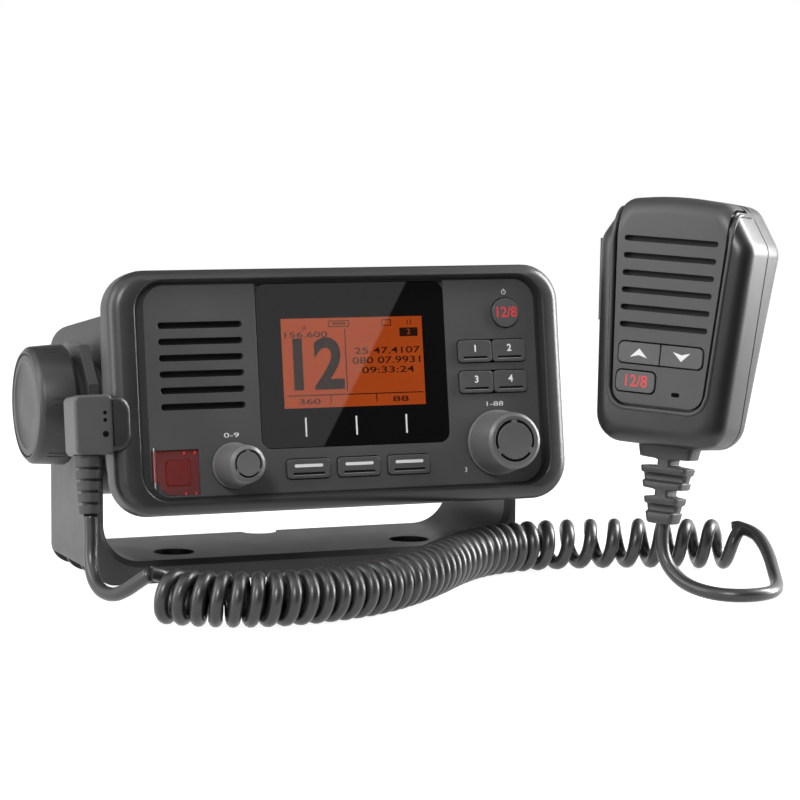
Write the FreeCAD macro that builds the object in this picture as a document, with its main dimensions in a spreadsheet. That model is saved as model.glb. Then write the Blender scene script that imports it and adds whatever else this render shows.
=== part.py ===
import FreeCAD, Part
import math
import os

import Sketcher

# Fixed-mount VHF marine radio: a faced and sealed transceiver hung between two
# thumb knobs in a U bracket, with a plug-in fist microphone on a curly cord.
#
# Millimetres. World frame: origin on the mounting surface under the tilt axis,
# +X to the right of someone facing the set, +Y away from them, +Z up.
# Radio frame: origin at the middle of the face panel, same directions, leaning
# back with the set. Handset frame: origin at the bottom middle of its face.

V = FreeCAD.Vector

SIZES = [
    # bracket
    ("axis_height", 62.5, "tilt axis above the mounting surface"),
    ("lean_back", 8.8, "degrees the set leans back at rest"),
    ("leg_span", 163.8, "over the outer faces of the bracket legs"),
    ("leg_thick", 3.8, "leg wall"),
    ("bracket_depth", 57.6, "front to back"),
    ("foot_top", 8.0, "top of the bracket's foot"),
    ("foot_skin", 3.2, "plate over the hollow foot"),
    ("bend_inner", 14.0, "inner radius between leg and foot"),
    ("bend_outer", 7.9, "outer radius between leg and foot"),
    ("leg_head", 22.0, "radius of the rounded leg head"),
    ("leg_shoulder", 38.0, "height where the leg starts to taper"),
    ("front_bevel", 2.0, "bevel along the bracket's edges"),
    ("rib_thick", 1.6, "ribs under the foot"),
    ("mount_spread", 93.0, "between the mounting holes"),
    ("mount_setback", 10.0, "mounting holes in front of the tilt axis"),
    ("mount_hole", 5.4, "mounting screw hole"),
    ("mount_sink", 15.0, "counterbore round each mounting hole"),
    ("mount_sink_depth", 1.6, "depth of that counterbore"),
    ("notch_radius", 7.0, "cable notch in the foot's back edge"),
    # radio body
    ("face_width", 170.0, "bezel width"),
    ("face_height", 85.0, "bezel height"),
    ("face_corner", 20.0, "bezel corner radius"),
    ("axis_back", 61.9, "tilt axis behind the face panel"),
    ("rim_rise", 3.0, "bezel rim in front of the face panel"),
    ("bezel_back", 9.0, "back of the bezel"),
    ("bezel_round", 6.5, "rounding of the bezel's front edge"),
    ("rim_bevel", 0.9, "light bevel inside the bezel rim"),
    ("seal_thick", 1.5, "housing seal"),
    ("flange_thick", 4.0, "rear housing flange"),
    ("flange_inset", 1.0, "flange inside the bezel outline, each side"),
    ("shoulder_length", 15.0, "slope from flange to housing"),
    ("housing_width", 148.0, "rear housing width"),
    ("housing_height", 65.0, "rear housing height"),
    ("housing_corner", 9.0, "rear housing corner radius"),
    ("housing_back", 116.0, "back wall of the housing behind the face"),
    ("wall", 3.0, "housing wall"),
    ("fin_depth", 11.0, "cooling fins"),
    ("fin_thick", 2.2, "one cooling fin"),
    ("fin_pitch", 8.0, "between cooling fins"),
    ("fin_count", 17, "cooling fins"),
    ("screw_radius", 1.5, "case screw"),
    ("screw_head", 2.7, "case screw head radius"),
    ("screw_head_thick", 2.0, "case screw head"),
    ("screw_across", 159.0, "between case screws, across"),
    ("screw_up", 54.0, "between case screws, up"),
    # face panel
    ("panel_width", 150.4, "face panel width"),
    ("panel_height", 73.4, "face panel height"),
    ("panel_rise", 0.4, "panel middle above the face's middle"),
    ("panel_corner", 8.0, "face panel corner radius"),
    ("panel_thick", 3.0, "face panel"),
    ("panel_groove", 1.2, "black gap round the panel"),
    ("ledge", 3.0, "bezel ledge behind the panel's edge"),
    ("fit", 0.3, "clearance round keys and in seats"),
    ("glass_left", 31.4, "display glass, left of the middle"),
    ("glass_right", 39.5, "display glass, right of the middle"),
    ("glass_bottom", 20.7, "display glass, below the middle"),
    ("glass_thick", 1.5, "display glass"),
    ("view_left", 22.5, "display area, left of the middle"),
    ("view_right", 31.4, "display area, right of the middle"),
    ("view_bottom", 7.05, "display area, below the middle"),
    ("view_top", 24.5, "display area, above the middle"),
    ("display_depth", 4.2, "display module"),
    ("display_margin", 3.0, "module frame round the display area"),
    ("slot_count", 6, "speaker slots"),
    ("slot_length", 30.8, "speaker slot"),
    ("slot_high", 2.3, "speaker slot height"),
    ("slot_pitch", 5.64, "between speaker slots"),
    ("slot_x", 52.2, "speaker left of the middle"),
    ("slot_z", 9.0, "speaker above the middle"),
    # controls
    ("key_rise", 0.9, "keys in front of the panel"),
    ("key_travel", 0.6, "key stroke"),
    ("key_corner", 1.4, "key corner radius"),
    ("soft_pitch", 19.05, "between soft keys"),
    ("soft_wide", 16.0, "soft key width"),
    ("soft_high", 6.8, "soft key height"),
    ("soft_x", 4.18, "middle soft key right of the middle"),
    ("soft_z", 28.3, "soft keys below the middle"),
    ("pair_wide", 13.0, "function key width"),
    ("pair_pitch", 13.4, "between function keys, across"),
    ("pair_high", 7.9, "function key height"),
    ("pair_rows", 11.1, "between function key rows"),
    ("pair_x", 57.6, "function keys right of the middle"),
    ("pair_z", 5.7, "function keys above the middle"),
    ("power_x", 63.65, "power key right of the middle"),
    ("power_z", 24.9, "power key above the middle"),
    ("power_radius", 5.25, "power key"),
    ("volume_x", 42.5, "volume knob left of the middle"),
    ("volume_z", 26.1, "volume knob below the middle"),
    ("volume_base", 8.05, "volume knob foot radius"),
    ("volume_cap", 6.3, "volume knob cap radius"),
    ("select_x", 57.8, "channel knob right of the middle"),
    ("select_z", 21.9, "channel knob below the middle"),
    ("select_base", 11.8, "channel knob foot radius"),
    ("select_cap", 9.9, "channel knob cap radius"),
    ("knob_rise", 16.5, "knobs in front of the panel"),
    ("knob_gap", 0.9, "knob foot to the panel, also its push stroke"),
    ("knob_skirt", 1.6, "knob foot thickness"),
    ("shaft_radius", 3.0, "encoder shaft"),
    ("shaft_fit", 0.06, "running fit round shafts and pins"),
    ("encoder_size", 12.0, "encoder body"),
    ("cover_left", 70.8, "distress cover's hinge side, left of the middle"),
    ("cover_right", 55.1, "distress cover's free side, left of the middle"),
    ("cover_top", 20.2, "distress cover's top, below the middle"),
    ("cover_bottom", 35.4, "distress cover's bottom, below the middle"),
    ("cover_corner", 4.5, "distress cover's rounded corner"),
    ("cover_thick", 1.3, "distress cover"),
    ("cover_rise", 0.5, "cover in front of the panel"),
    ("cover_pin", 0.6, "cover hinge pin radius"),
    ("distress_size", 8.6, "distress button"),
    ("board_front", 7.4, "front board behind the face"),
    ("board_thick", 1.6, "circuit boards"),
    ("membrane_thick", 1.2, "key membrane"),
    # gimbal
    ("boss_radius", 15.0, "gimbal boss on the housing"),
    ("washer_gap", 0.2, "friction washer to the bracket leg"),
    ("washer_thick", 1.2, "inner friction washer"),
    ("insert_radius", 4.5, "brass insert"),
    ("insert_length", 12.0, "brass insert"),
    ("stud_radius", 2.5, "knob stud"),
    ("knob_radius", 21.0, "gimbal knob"),
    ("knob_inner", 84.8, "gimbal knob's inner face from the middle"),
    ("knob_outer", 98.1, "gimbal knob's outer face from the middle"),
    ("knob_bevel", 2.2, "gimbal knob rim bevel"),
    ("knob_dish", 0.9, "recess of the gimbal knob's cap"),
    ("knob_cap_radius", 16.6, "gimbal knob cap"),
    # microphone plug
    ("plug_left", 99.5, "plug's outer side, left of the middle"),
    ("plug_right", 85.8, "plug's seam, left of the middle"),
    ("boss_right", 78.5, "socket boss's inner end, left of the middle"),
    ("plug_drop", 20.5, "plug and boss height"),
    ("plug_front", 4.0, "plug in front of the face panel"),
    ("plug_depth", 13.5, "plug front to back"),
    ("plug_round", 2.2, "plug's edge rounding"),
    ("pin_radius", 4.2, "plug spigot"),
    ("socket_wall", 1.3, "socket ring"),
    ("boot_length", 19.9, "plug boot"),
    ("boot_offset", 1.1, "boot outside the plug's middle"),
    ("boot_top", 4.95, "plug boot radius at the plug"),
    ("boot_tip", 3.9, "plug boot radius at the cord"),
    ("cord_radius", 2.4, "cord"),
    # handset
    ("hand_height", 86.5, "handset height"),
    ("hand_foot", 24.8, "half width at the bottom"),
    ("hand_waist", 29.9, "half width at the shoulders"),
    ("hand_shoulder", 71.5, "height of the shoulders"),
    ("hand_crown", 20.5, "half width at the top"),
    ("hand_cheek", 6.3, "depth of the sloping cheeks"),
    ("hand_seam", 16.0, "depth of the seam"),
    ("hand_depth", 29.6, "depth over all"),
    ("hand_wall", 2.4, "handset wall"),
    ("hand_panel_foot", 17.3, "panel half width at its bottom"),
    ("hand_panel_top", 21.6, "panel half width at its top"),
    ("hand_panel_low", 9.6, "panel's bottom edge"),
    ("hand_panel_high", 76.0, "panel's top edge"),
    ("hand_panel_thick", 2.2, "handset panel"),
    ("hand_slot_low", 41.5, "lowest handset slot"),
    ("hand_slot_pitch", 6.04, "between handset slots"),
    ("hand_slot_length", 33.6, "handset slot"),
    ("hand_slot_high", 2.0, "handset slot height"),
    ("hand_key_low", 28.2, "bottom of the up and down keys"),
    ("hand_key_high", 7.2, "up and down key height"),
    ("hand_key_wide", 16.1, "up and down key width"),
    ("quick_key_low", 18.2, "bottom of the quick channel key"),
    ("quick_key_wide", 15.1, "quick channel key width"),
    ("hand_key_travel", 0.6, "handset key stroke"),
    ("hand_key_rise", 0.4, "handset keys in front of the panel"),
    ("talk_low", 42.0, "bottom of the talk button"),
    ("talk_high", 71.0, "top of the talk button"),
    ("talk_front", 7.4, "talk button's front edge"),
    ("talk_back", 14.0, "talk button's back edge"),
    ("talk_rise", 1.9, "talk button outside the shell"),
    ("talk_travel", 1.4, "talk button stroke"),
    ("hanger_neck", 3.0, "hanger stud's neck radius, also its length"),
    ("hanger_head", 5.4, "hanger stud's head radius"),
    ("hanger_rim", 1.4, "hanger stud's straight head edge"),
    ("hanger_bevel", 0.6, "bevel of the hanger stud's head"),
    ("hand_boot_y", 14.0, "handset boot behind its face"),
    ("hand_boot_length", 27.5, "handset boot"),
    ("hand_boot_wide", 10.8, "handset boot half width at the shell"),
    ("hand_boot_thick", 4.6, "handset boot half depth at the shell"),
    ("hand_boot_tip", 4.8, "handset boot radius at the cord"),
    # cord
    ("coil_radius", 9.3, "curly cord's outer radius"),
]


class Size:
    """A length that carries its number and its formula in the sheet."""

    def __init__(self, number, formula):
        self.number = number
        self.formula = formula

    def _join(self, sign, other, number):
        return Size(number, f"({self.formula} {sign} {formula_of(other)})")

    def __add__(self, other):
        return self._join("+", other, self.number + number_of(other))

    def __radd__(self, other):
        return self + other

    def __sub__(self, other):
        return self._join("-", other, self.number - number_of(other))

    def __rsub__(self, other):
        return (-self) + other

    def __mul__(self, other):
        return self._join("*", other, self.number * number_of(other))

    def __rmul__(self, other):
        return self * other

    def __truediv__(self, other):
        return self._join("/", other, self.number / number_of(other))

    def __neg__(self):
        return Size(-self.number, f"(0 - {self.formula})")


def number_of(value):
    return value.number if isinstance(value, Size) else value


def formula_of(value):
    return value.formula if isinstance(value, Size) else f"({value:.6f})"


doc = FreeCAD.newDocument("vhf_radio")
sheet = doc.addObject("Spreadsheet::Sheet", "sizes")
for row, (alias, number, note) in enumerate(SIZES, start=1):
    sheet.set(f"A{row}", alias)
    sheet.set(f"B{row}", str(number))
    sheet.set(f"C{row}", note)
    sheet.setAlias(f"B{row}", alias)
doc.recompute()


class Sheet:
    """The sheet's cells by name, each as a Size."""

    def __getattr__(self, alias):
        return Size(float(sheet.get(alias)), f"sizes.{alias}")


S = Sheet()


# ---------------------------------------------------------------- modelling helpers

TOP = FreeCAD.Rotation()
FRONT = FreeCAD.Rotation(V(1, 0, 0), 90)
SIDE = FreeCAD.Rotation(V(1, 1, 1), 120)


def bind(thing, **sizes):
    """Bind properties of an object to formulas of the sheet."""
    for name, value in sizes.items():
        thing.setExpression(name.replace("_", "."), formula_of(value))


def new_body(label):
    body = doc.addObject("PartDesign::Body", label)
    body.Label = label
    return body


def sketch_on(body, view, x=0, y=0, z=0):
    """A sketch in the given view, with its origin at x, y, z of the body."""
    sketch = body.newObject("Sketcher::SketchObject", body.Name + "_sketch")
    plane = next(o for o in body.Origin.OriginFeatures if o.Role == "XY_Plane")
    sketch.AttachmentSupport = [(plane, "")]
    sketch.MapMode = "FlatFace"
    base = V(number_of(x), number_of(y), number_of(z))
    sketch.AttachmentOffset = FreeCAD.Placement(base, view)
    for axis, value in zip("xyz", (x, y, z)):
        if isinstance(value, Size):
            sketch.setExpression(f"AttachmentOffset.Base.{axis}", value.formula)
    return sketch


def fix(sketch, kind, *where, size):
    """Add a dimension to the sketch and bind it to the sheet."""
    index = sketch.addConstraint(Sketcher.Constraint(kind, *where, float(number_of(size))))
    if isinstance(size, Size):
        sketch.setExpression(f"Constraints[{index}]", size.formula)


def fix_point(sketch, geometry, end, x, y):
    fix(sketch, "DistanceX", geometry, end, size=x)
    fix(sketch, "DistanceY", geometry, end, size=y)


def corner_arc(before, corner, after, radius):
    """Tangent points and middle of the arc that rounds a corner."""
    to_before = (before - corner).normalize()
    to_after = (after - corner).normalize()
    half = to_before.getAngle(to_after) / 2
    middle_line = (to_before + to_after).normalize()
    centre = corner + middle_line * (radius / math.sin(half))
    reach = radius / math.tan(half)
    return corner + to_before * reach, centre - middle_line * radius, corner + to_after * reach


def outline(sketch, corners):
    """A closed outline from (x, y, radius) corners, fully dimensioned."""
    points = [V(number_of(x), number_of(y), 0) for x, y, _ in corners]
    radii = [number_of(radius) for _, _, radius in corners]
    count = len(corners)
    arcs = {}
    for i, radius in enumerate(radii):
        if radius > 0:
            arcs[i] = corner_arc(points[i - 1], points[i], points[(i + 1) % count], radius)
    lines = []
    for i in range(count):
        following = (i + 1) % count
        start = arcs[i][2] if i in arcs else points[i]
        end = arcs[following][0] if following in arcs else points[following]
        lines.append(sketch.addGeometry(Part.LineSegment(start, end), False))
    for i, (x, y, radius) in enumerate(corners):
        line_in, line_out = lines[i - 1], lines[i]
        if i not in arcs:
            sketch.addConstraint(Sketcher.Constraint("Coincident", line_in, 2, line_out, 1))
            fix_point(sketch, line_out, 1, x, y)
            continue
        turns_left = (points[i] - points[i - 1]).cross(points[(i + 1) % count] - points[i]).z > 0
        along = arcs[i] if turns_left else arcs[i][::-1]
        arc = sketch.addGeometry(Part.Arc(*along), False)
        first, last = (1, 2) if turns_left else (2, 1)
        sketch.addConstraint(Sketcher.Constraint("Tangent", line_in, 2, arc, first))
        sketch.addConstraint(Sketcher.Constraint("Tangent", arc, last, line_out, 1))
        fix(sketch, "Radius", arc, size=radius)
        point = sketch.addGeometry(Part.Point(points[i]), True)
        sketch.addConstraint(Sketcher.Constraint("PointOnObject", point, 1, line_in))
        sketch.addConstraint(Sketcher.Constraint("PointOnObject", point, 1, line_out))
        fix_point(sketch, point, 1, x, y)
    return sketch


def rectangle(sketch, left, right, low, high, radius=0):
    return outline(sketch, [(left, low, radius), (right, low, radius),
                            (right, high, radius), (left, high, radius)])


def middle_rectangle(sketch, width, height, radius=0, x=0, y=0):
    return rectangle(sketch, x - width / 2, x + width / 2, y - height / 2, y + height / 2, radius)


def circle(sketch, x, y, radius):
    middle = V(number_of(x), number_of(y), 0)
    ring = Part.Circle(middle, V(0, 0, 1), number_of(radius))
    index = sketch.addGeometry(ring, False)
    fix_point(sketch, index, 3, x, y)
    fix(sketch, "Radius", index, size=radius)
    return sketch


def pad(body, sketch, length, away=False):
    """Add material towards the viewer of the sketch, or away from them."""
    feature = body.newObject("PartDesign::Pad", body.Name + "_pad")
    feature.Profile = sketch
    feature.Reversed = away
    bind(feature, Length=length)
    return feature


def pocket(body, sketch, length, towards=False):
    """Cut away from the viewer of the sketch, or towards them."""
    feature = body.newObject("PartDesign::Pocket", body.Name + "_pocket")
    feature.Profile = sketch
    feature.Reversed = towards
    bind(feature, Length=length)
    return feature


def loft(body, *sketches):
    feature = body.newObject("PartDesign::AdditiveLoft", body.Name + "_loft")
    feature.Profile = sketches[0]
    feature.Sections = list(sketches[1:])
    feature.Ruled = True
    return feature


def revolve(body, sketch, axis="H_Axis", cut=False):
    kind = "PartDesign::Groove" if cut else "PartDesign::Revolution"
    feature = body.newObject(kind, body.Name + "_turned")
    feature.Profile = sketch
    feature.ReferenceAxis = (sketch, [axis])
    feature.Angle = 360
    return feature


def repeat(body, feature, sketch, axis, pitch, count):
    """Repeat a feature along an axis of its sketch."""
    pattern = body.newObject("PartDesign::LinearPattern", body.Name + "_row")
    pattern.Originals = [feature]
    pattern.Direction = (sketch, [axis])
    bind(pattern, Length=pitch * (count - 1), Occurrences=count)
    body.Tip = pattern
    return pattern


def dress(body, kind, radius, chosen):
    """Round or bevel the edges of the body's newest feature that are chosen."""
    doc.recompute()
    tip = body.Tip
    names = [f"Edge{i}" for i, edge in enumerate(tip.Shape.Edges, start=1) if chosen(edge)]
    feature = body.newObject(f"PartDesign::{kind}", f"{body.Name}_{kind.lower()}")
    feature.Base = (tip, names)
    bind(feature, **{"Radius" if kind == "Fillet" else "Size": radius})
    return feature


def lies_at(edge, axis, value):
    """Whether the whole edge lies at one value of x, y or z."""
    box = edge.BoundBox
    low, high = (getattr(box, axis.upper() + end) for end in ("Min", "Max"))
    return abs(low - number_of(value)) < 1e-4 and abs(high - number_of(value)) < 1e-4


def group(label, *members):
    """Separate solids that share one node."""
    compound = doc.addObject("Part::Compound", label)
    compound.Label = label
    compound.Links = list(members)
    return compound


# ---------------------------------------------------------------- frames

def radio_frame():
    """Place of the radio frame in the world: turned back about the tilt axis."""
    turn = FreeCAD.Rotation(V(1, 0, 0), -S.lean_back.number)
    axis = V(0, 0, S.axis_height.number)
    return FreeCAD.Placement(axis - turn.multVec(V(0, S.axis_back.number, 0)), turn)


HANDSET_SPOT = V(94.5, -115.1, 53.4)
HANDSET_TURN = -54.7
HANDSET_LEAN = 2.2
HANDSET_TIP = -5.3


def handset_frame():
    """Place of the handset: turned left, leaning a little right and back."""
    turn = FreeCAD.Rotation(V(0, 0, 1), HANDSET_TURN)
    lean = FreeCAD.Rotation(V(0, 1, 0), HANDSET_LEAN)
    tip = FreeCAD.Rotation(V(1, 0, 0), HANDSET_TIP)
    return FreeCAD.Placement(HANDSET_SPOT, turn * lean * tip)


PARTS = {}


def keep(part, frame=None):
    """Put a finished part in its frame and list it for writing."""
    part.Placement = frame if frame else FreeCAD.Placement()
    PARTS[part.Label] = part
    return part


RADIO = radio_frame()
HANDSET = handset_frame()


# ---------------------------------------------------------------- bracket

def bracket():
    """U bracket: two legs with round heads on a foot that is ribbed underneath."""
    body = new_body("bracket")
    half = S.leg_span / 2
    inner = half - S.leg_thick
    high = S.axis_height + S.leg_head
    legs = sketch_on(body, FRONT, y=S.bracket_depth / 2)
    outline(legs, [(-half, 0, S.bend_outer), (half, 0, S.bend_outer), (half, high, 0),
                   (inner, high, 0), (inner, S.foot_top, S.bend_inner),
                   (-inner, S.foot_top, S.bend_inner), (-inner, high, 0), (-half, high, 0)])
    pad(body, legs, S.bracket_depth)
    dress(body, "Chamfer", S.front_bevel,
          lambda e: lies_at(e, "y", -S.bracket_depth / 2) and faces_inside(e, inner, high))

    for side in (-1, 1):
        trim = sketch_on(body, SIDE, x=half)
        edge = side * S.bracket_depth / 2
        far = side * S.bracket_depth
        slope = side * S.leg_head
        outline(trim, [(edge, S.leg_shoulder, 0), (slope, S.axis_height, 0),
                       (slope, high + 1, 0), (far, high + 1, 0), (far, S.leg_shoulder, 0)])
        pocket(body, trim, S.leg_span)
    corner = sketch_on(body, SIDE, x=half)
    for side in (-1, 1):
        reach = side * S.leg_head * 0.414
        far = side * (S.leg_head + 2)
        outline(corner, [(reach, high, 0), (side * S.leg_head, S.axis_height + S.leg_head * 0.414, 0),
                         (far, S.axis_height + S.leg_head * 0.414, 0), (far, high + 2, 0),
                         (reach, high + 2, 0)])
    pocket(body, corner, S.leg_span)
    pivots = sketch_on(body, SIDE, x=half)
    circle(pivots, 0, S.axis_height, S.stud_radius + S.fit)
    pocket(body, pivots, S.leg_span)

    holes = sketch_on(body, TOP, z=S.foot_top)
    sinks = sketch_on(body, TOP, z=S.foot_top)
    for side in (-1, 1):
        circle(holes, side * S.mount_spread / 2, -S.mount_setback, S.mount_hole / 2)
        circle(sinks, side * S.mount_spread / 2, -S.mount_setback, S.mount_sink / 2)
    pocket(body, sinks, S.mount_sink_depth)
    pocket(body, holes, S.foot_top)
    notch = sketch_on(body, TOP, z=S.foot_top)
    circle(notch, 0, S.bracket_depth / 2, S.notch_radius)
    pocket(body, notch, S.foot_top)

    hollow = sketch_on(body, TOP)
    bends = sketch_on(body, TOP)
    bay_deep = (S.bracket_depth - S.rib_thick * 4) / 3
    solid = S.mount_sink / 2 + S.rib_thick
    for bay in (-1, 0, 1):
        low = bay * (bay_deep + S.rib_thick) - bay_deep / 2
        middle = S.mount_spread / 2 - solid
        beside = S.notch_radius + S.rib_thick
        if bay < 0:
            rectangle(hollow, -middle, middle, low, low + bay_deep)
        if bay > 0:
            rectangle(hollow, -middle, -beside, low, low + bay_deep)
            rectangle(hollow, beside, middle, low, low + bay_deep)
        near = S.mount_spread / 2 + solid
        rectangle(bends, near, half + 1, low, low + bay_deep)
        rectangle(bends, -half - 1, -near, low, low + bay_deep)
    pocket(body, hollow, S.foot_top - S.foot_skin, towards=True)
    pocket(body, bends, S.foot_top - S.foot_skin, towards=True)
    keep(body)


def faces_inside(edge, inner, high):
    """Whether an edge of the bracket's front belongs to the inside of the U."""
    box = edge.BoundBox
    sunk = box.ZMin > 0.5 and box.ZMax < number_of(high) - 0.5
    upright = abs(abs(box.Center.x) - number_of(inner)) < 1e-3
    return sunk or upright


# ---------------------------------------------------------------- radio casing

def bezel_outline(sketch, inset=0):
    middle_rectangle(sketch, S.face_width - inset * 2, S.face_height - inset * 2,
                     S.face_corner - inset)


def panel_outline(sketch, inset=0):
    middle_rectangle(sketch, S.panel_width - inset * 2, S.panel_height - inset * 2,
                     S.panel_corner - inset, y=S.panel_rise)


def screw_spots():
    return [(x * S.screw_across / 2, z * S.screw_up / 2) for x in (-1, 1) for z in (-1, 1)]


def screw_holes(body, y, length, radius):
    holes = sketch_on(body, FRONT, y=y)
    for x, z in screw_spots():
        circle(holes, x, z, radius + S.shaft_fit)
    pocket(body, holes, length)


def front_bezel():
    """Rounded frame round the face, with the boss that carries the socket."""
    body = new_body("front_bezel")
    ring = sketch_on(body, FRONT, y=-S.rim_rise)
    bezel_outline(ring)
    pad(body, ring, S.rim_rise + S.bezel_back, away=True)
    dress(body, "Fillet", S.bezel_round, lambda e: lies_at(e, "y", -S.rim_rise))
    boss = sketch_on(body, FRONT, y=-S.plug_front)
    rectangle(boss, -S.face_width / 2 - S.fit, -S.boss_right, -S.plug_drop, 0, S.plug_round)
    pad(body, boss, S.plug_front + S.bezel_back, away=True)
    opening = sketch_on(body, FRONT, y=-S.rim_rise)
    panel_outline(opening, -S.panel_groove)
    pocket(body, opening, S.rim_rise + S.panel_thick)
    dress(body, "Chamfer", S.rim_bevel,
          lambda e: lies_at(e, "y", -S.rim_rise) and abs(e.BoundBox.Center.x) < 77)
    inside = sketch_on(body, FRONT, y=S.panel_thick)
    panel_outline(inside, S.ledge)
    pocket(body, inside, S.bezel_back)
    screw_holes(body, S.panel_thick, S.bezel_back, S.screw_radius)
    bore = sketch_on(body, SIDE, x=-S.face_width / 2 - S.fit)
    circle(bore, S.plug_depth / 2 - S.plug_front, -S.plug_drop / 2,
           S.pin_radius + S.socket_wall + S.shaft_fit)
    pocket(body, bore, S.face_width / 2 - S.boss_right + S.fit, towards=True)
    keep(body, RADIO)


def mic_socket():
    """Eight-way socket in the bezel's boss."""
    body = new_body("mic_socket")
    across = S.plug_depth / 2 - S.plug_front
    ring = sketch_on(body, SIDE, x=-S.face_width / 2 - S.fit)
    circle(ring, across, -S.plug_drop / 2, S.pin_radius + S.socket_wall)
    pad(body, ring, S.face_width / 2 - S.boss_right + S.fit)
    bore = sketch_on(body, SIDE, x=-S.face_width / 2 - S.fit)
    circle(bore, across, -S.plug_drop / 2, S.pin_radius)
    pocket(body, bore, S.face_width / 2 - S.boss_right - S.board_thick, towards=True)
    keep(body, RADIO)


def face_panel():
    """Flush front panel with the speaker slots and the openings of the controls."""
    body = new_body("face_panel")
    plate = sketch_on(body, FRONT)
    panel_outline(plate)
    pad(body, plate, S.panel_thick, away=True)

    glass = sketch_on(body, FRONT)
    glass_outline(glass, S.fit)
    pocket(body, glass, S.glass_thick)
    window = sketch_on(body, FRONT)
    rectangle(window, -S.view_left - S.fit, S.view_right + S.fit,
              -S.view_bottom - S.fit, S.view_top + S.fit)
    for index in (-1, 0, 1):
        middle_rectangle(window, S.soft_wide + S.fit * 2, S.soft_high + S.fit * 2,
                         S.key_corner + S.fit, x=S.soft_x + index * S.soft_pitch, y=-S.soft_z)
    for row in (-1, 1):
        middle_rectangle(window, S.pair_pitch + S.pair_wide + S.fit * 2,
                         S.pair_high + S.fit * 2, S.key_corner + S.fit,
                         x=S.pair_x, y=S.pair_z + row * S.pair_rows / 2)
    circle(window, S.power_x, S.power_z, S.power_radius + S.fit)
    circle(window, -S.volume_x, -S.volume_z, S.shaft_radius + 1)
    circle(window, S.select_x, -S.select_z, S.shaft_radius + 1)
    cover_x = -(S.cover_left + S.cover_right) / 2
    cover_z = -(S.cover_top + S.cover_bottom) / 2
    middle_rectangle(window, S.distress_size + S.fit * 2, S.distress_size + S.fit * 2,
                     S.key_corner, x=cover_x + 1, y=cover_z)
    pocket(body, window, S.panel_thick)
    bed = sketch_on(body, FRONT)
    outline(bed, [(-S.cover_left - S.cover_pin * 2, -S.cover_bottom - S.fit, S.cover_corner + S.fit),
                  (-S.cover_right + S.fit, -S.cover_bottom - S.fit, 0),
                  (-S.cover_right + S.fit, -S.cover_top + S.fit, 0),
                  (-S.cover_left - S.cover_pin * 2, -S.cover_top + S.fit, 0)])
    pocket(body, bed, S.cover_pin * 3)
    pin = sketch_on(body, TOP, z=-S.cover_top + S.fit + 1)
    rectangle(pin, -S.cover_left - S.cover_pin, -S.cover_left + S.cover_pin,
              -S.cover_pin, S.cover_pin * 2)
    pocket(body, pin, S.cover_bottom - S.cover_top + S.fit * 4)

    slot = sketch_on(body, FRONT)
    low = S.slot_z - S.slot_pitch * (S.slot_count - 1) / 2
    middle_rectangle(slot, S.slot_length, S.slot_high, S.slot_high * 0.48, x=-S.slot_x, y=low)
    cut = pocket(body, slot, S.panel_thick)
    repeat(body, cut, slot, "V_Axis", S.slot_pitch, S.slot_count)
    keep(body, RADIO)


def glass_outline(sketch, grow=0):
    top = S.panel_height / 2 + S.panel_rise - S.fit
    outline(sketch, [(-S.glass_left - grow, -S.glass_bottom - grow, 4),
                     (S.glass_right + grow, -S.glass_bottom - grow, 4),
                     (S.glass_right + grow, top + grow, 0), (-S.glass_left - grow, top + grow, 0)])


def display_window():
    """Black-printed glass over the display and the soft key labels."""
    body = new_body("display_window")
    pane = sketch_on(body, FRONT)
    glass_outline(pane)
    pad(body, pane, S.glass_thick, away=True)
    keep(body, RADIO)


def display_module():
    """Backlit display with its frame, seated behind the glass."""
    body = new_body("display_module")
    frame = sketch_on(body, FRONT, y=S.panel_thick)
    grow = S.display_margin
    rectangle(frame, -S.view_left - grow, S.view_right + grow,
              -S.view_bottom - grow, S.view_top + grow)
    pad(body, frame, S.display_depth, away=True)
    screen = sketch_on(body, FRONT, y=S.panel_thick)
    rectangle(screen, -S.view_left, S.view_right, -S.view_bottom, S.view_top)
    pad(body, screen, S.panel_thick - S.glass_thick - 0.1)
    keep(body, RADIO)


def speaker_mesh():
    """Dark cloth behind the speaker slots."""
    body = new_body("speaker_mesh")
    cloth = sketch_on(body, FRONT, y=S.panel_thick)
    middle_rectangle(cloth, S.slot_length + 2, S.slot_pitch * S.slot_count + 2, 2,
                     x=-S.slot_x, y=S.slot_z)
    pad(body, cloth, 0.5, away=True)
    keep(body, RADIO)


def speaker():
    """Loudspeaker: basket, rim and magnet, turned about its own axis."""
    body = new_body("speaker")
    rim = 17
    profile = sketch_on(body, TOP, x=-S.slot_x, z=S.slot_z)
    front = S.panel_thick + 0.5
    outline(profile, [(0, front, 0), (rim, front, 0), (rim, front + 2, 0), (11, front + 9, 0),
                      (11, front + 15, 0), (0, front + 15, 0)])
    revolve(body, profile, "V_Axis")
    keep(body, RADIO)


def housing_seal():
    """Rubber gasket between the bezel and the rear housing."""
    body = new_body("housing_seal")
    ring = sketch_on(body, FRONT, y=S.bezel_back)
    bezel_outline(ring, 0.7)
    pad(body, ring, S.seal_thick, away=True)
    inside = sketch_on(body, FRONT, y=S.bezel_back)
    middle_rectangle(inside, S.housing_width - S.wall * 2, S.housing_height - S.wall * 2,
                     S.housing_corner - S.wall)
    pocket(body, inside, S.seal_thick)
    screw_holes(body, S.bezel_back, S.seal_thick, S.screw_radius)
    keep(body, RADIO)


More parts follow.
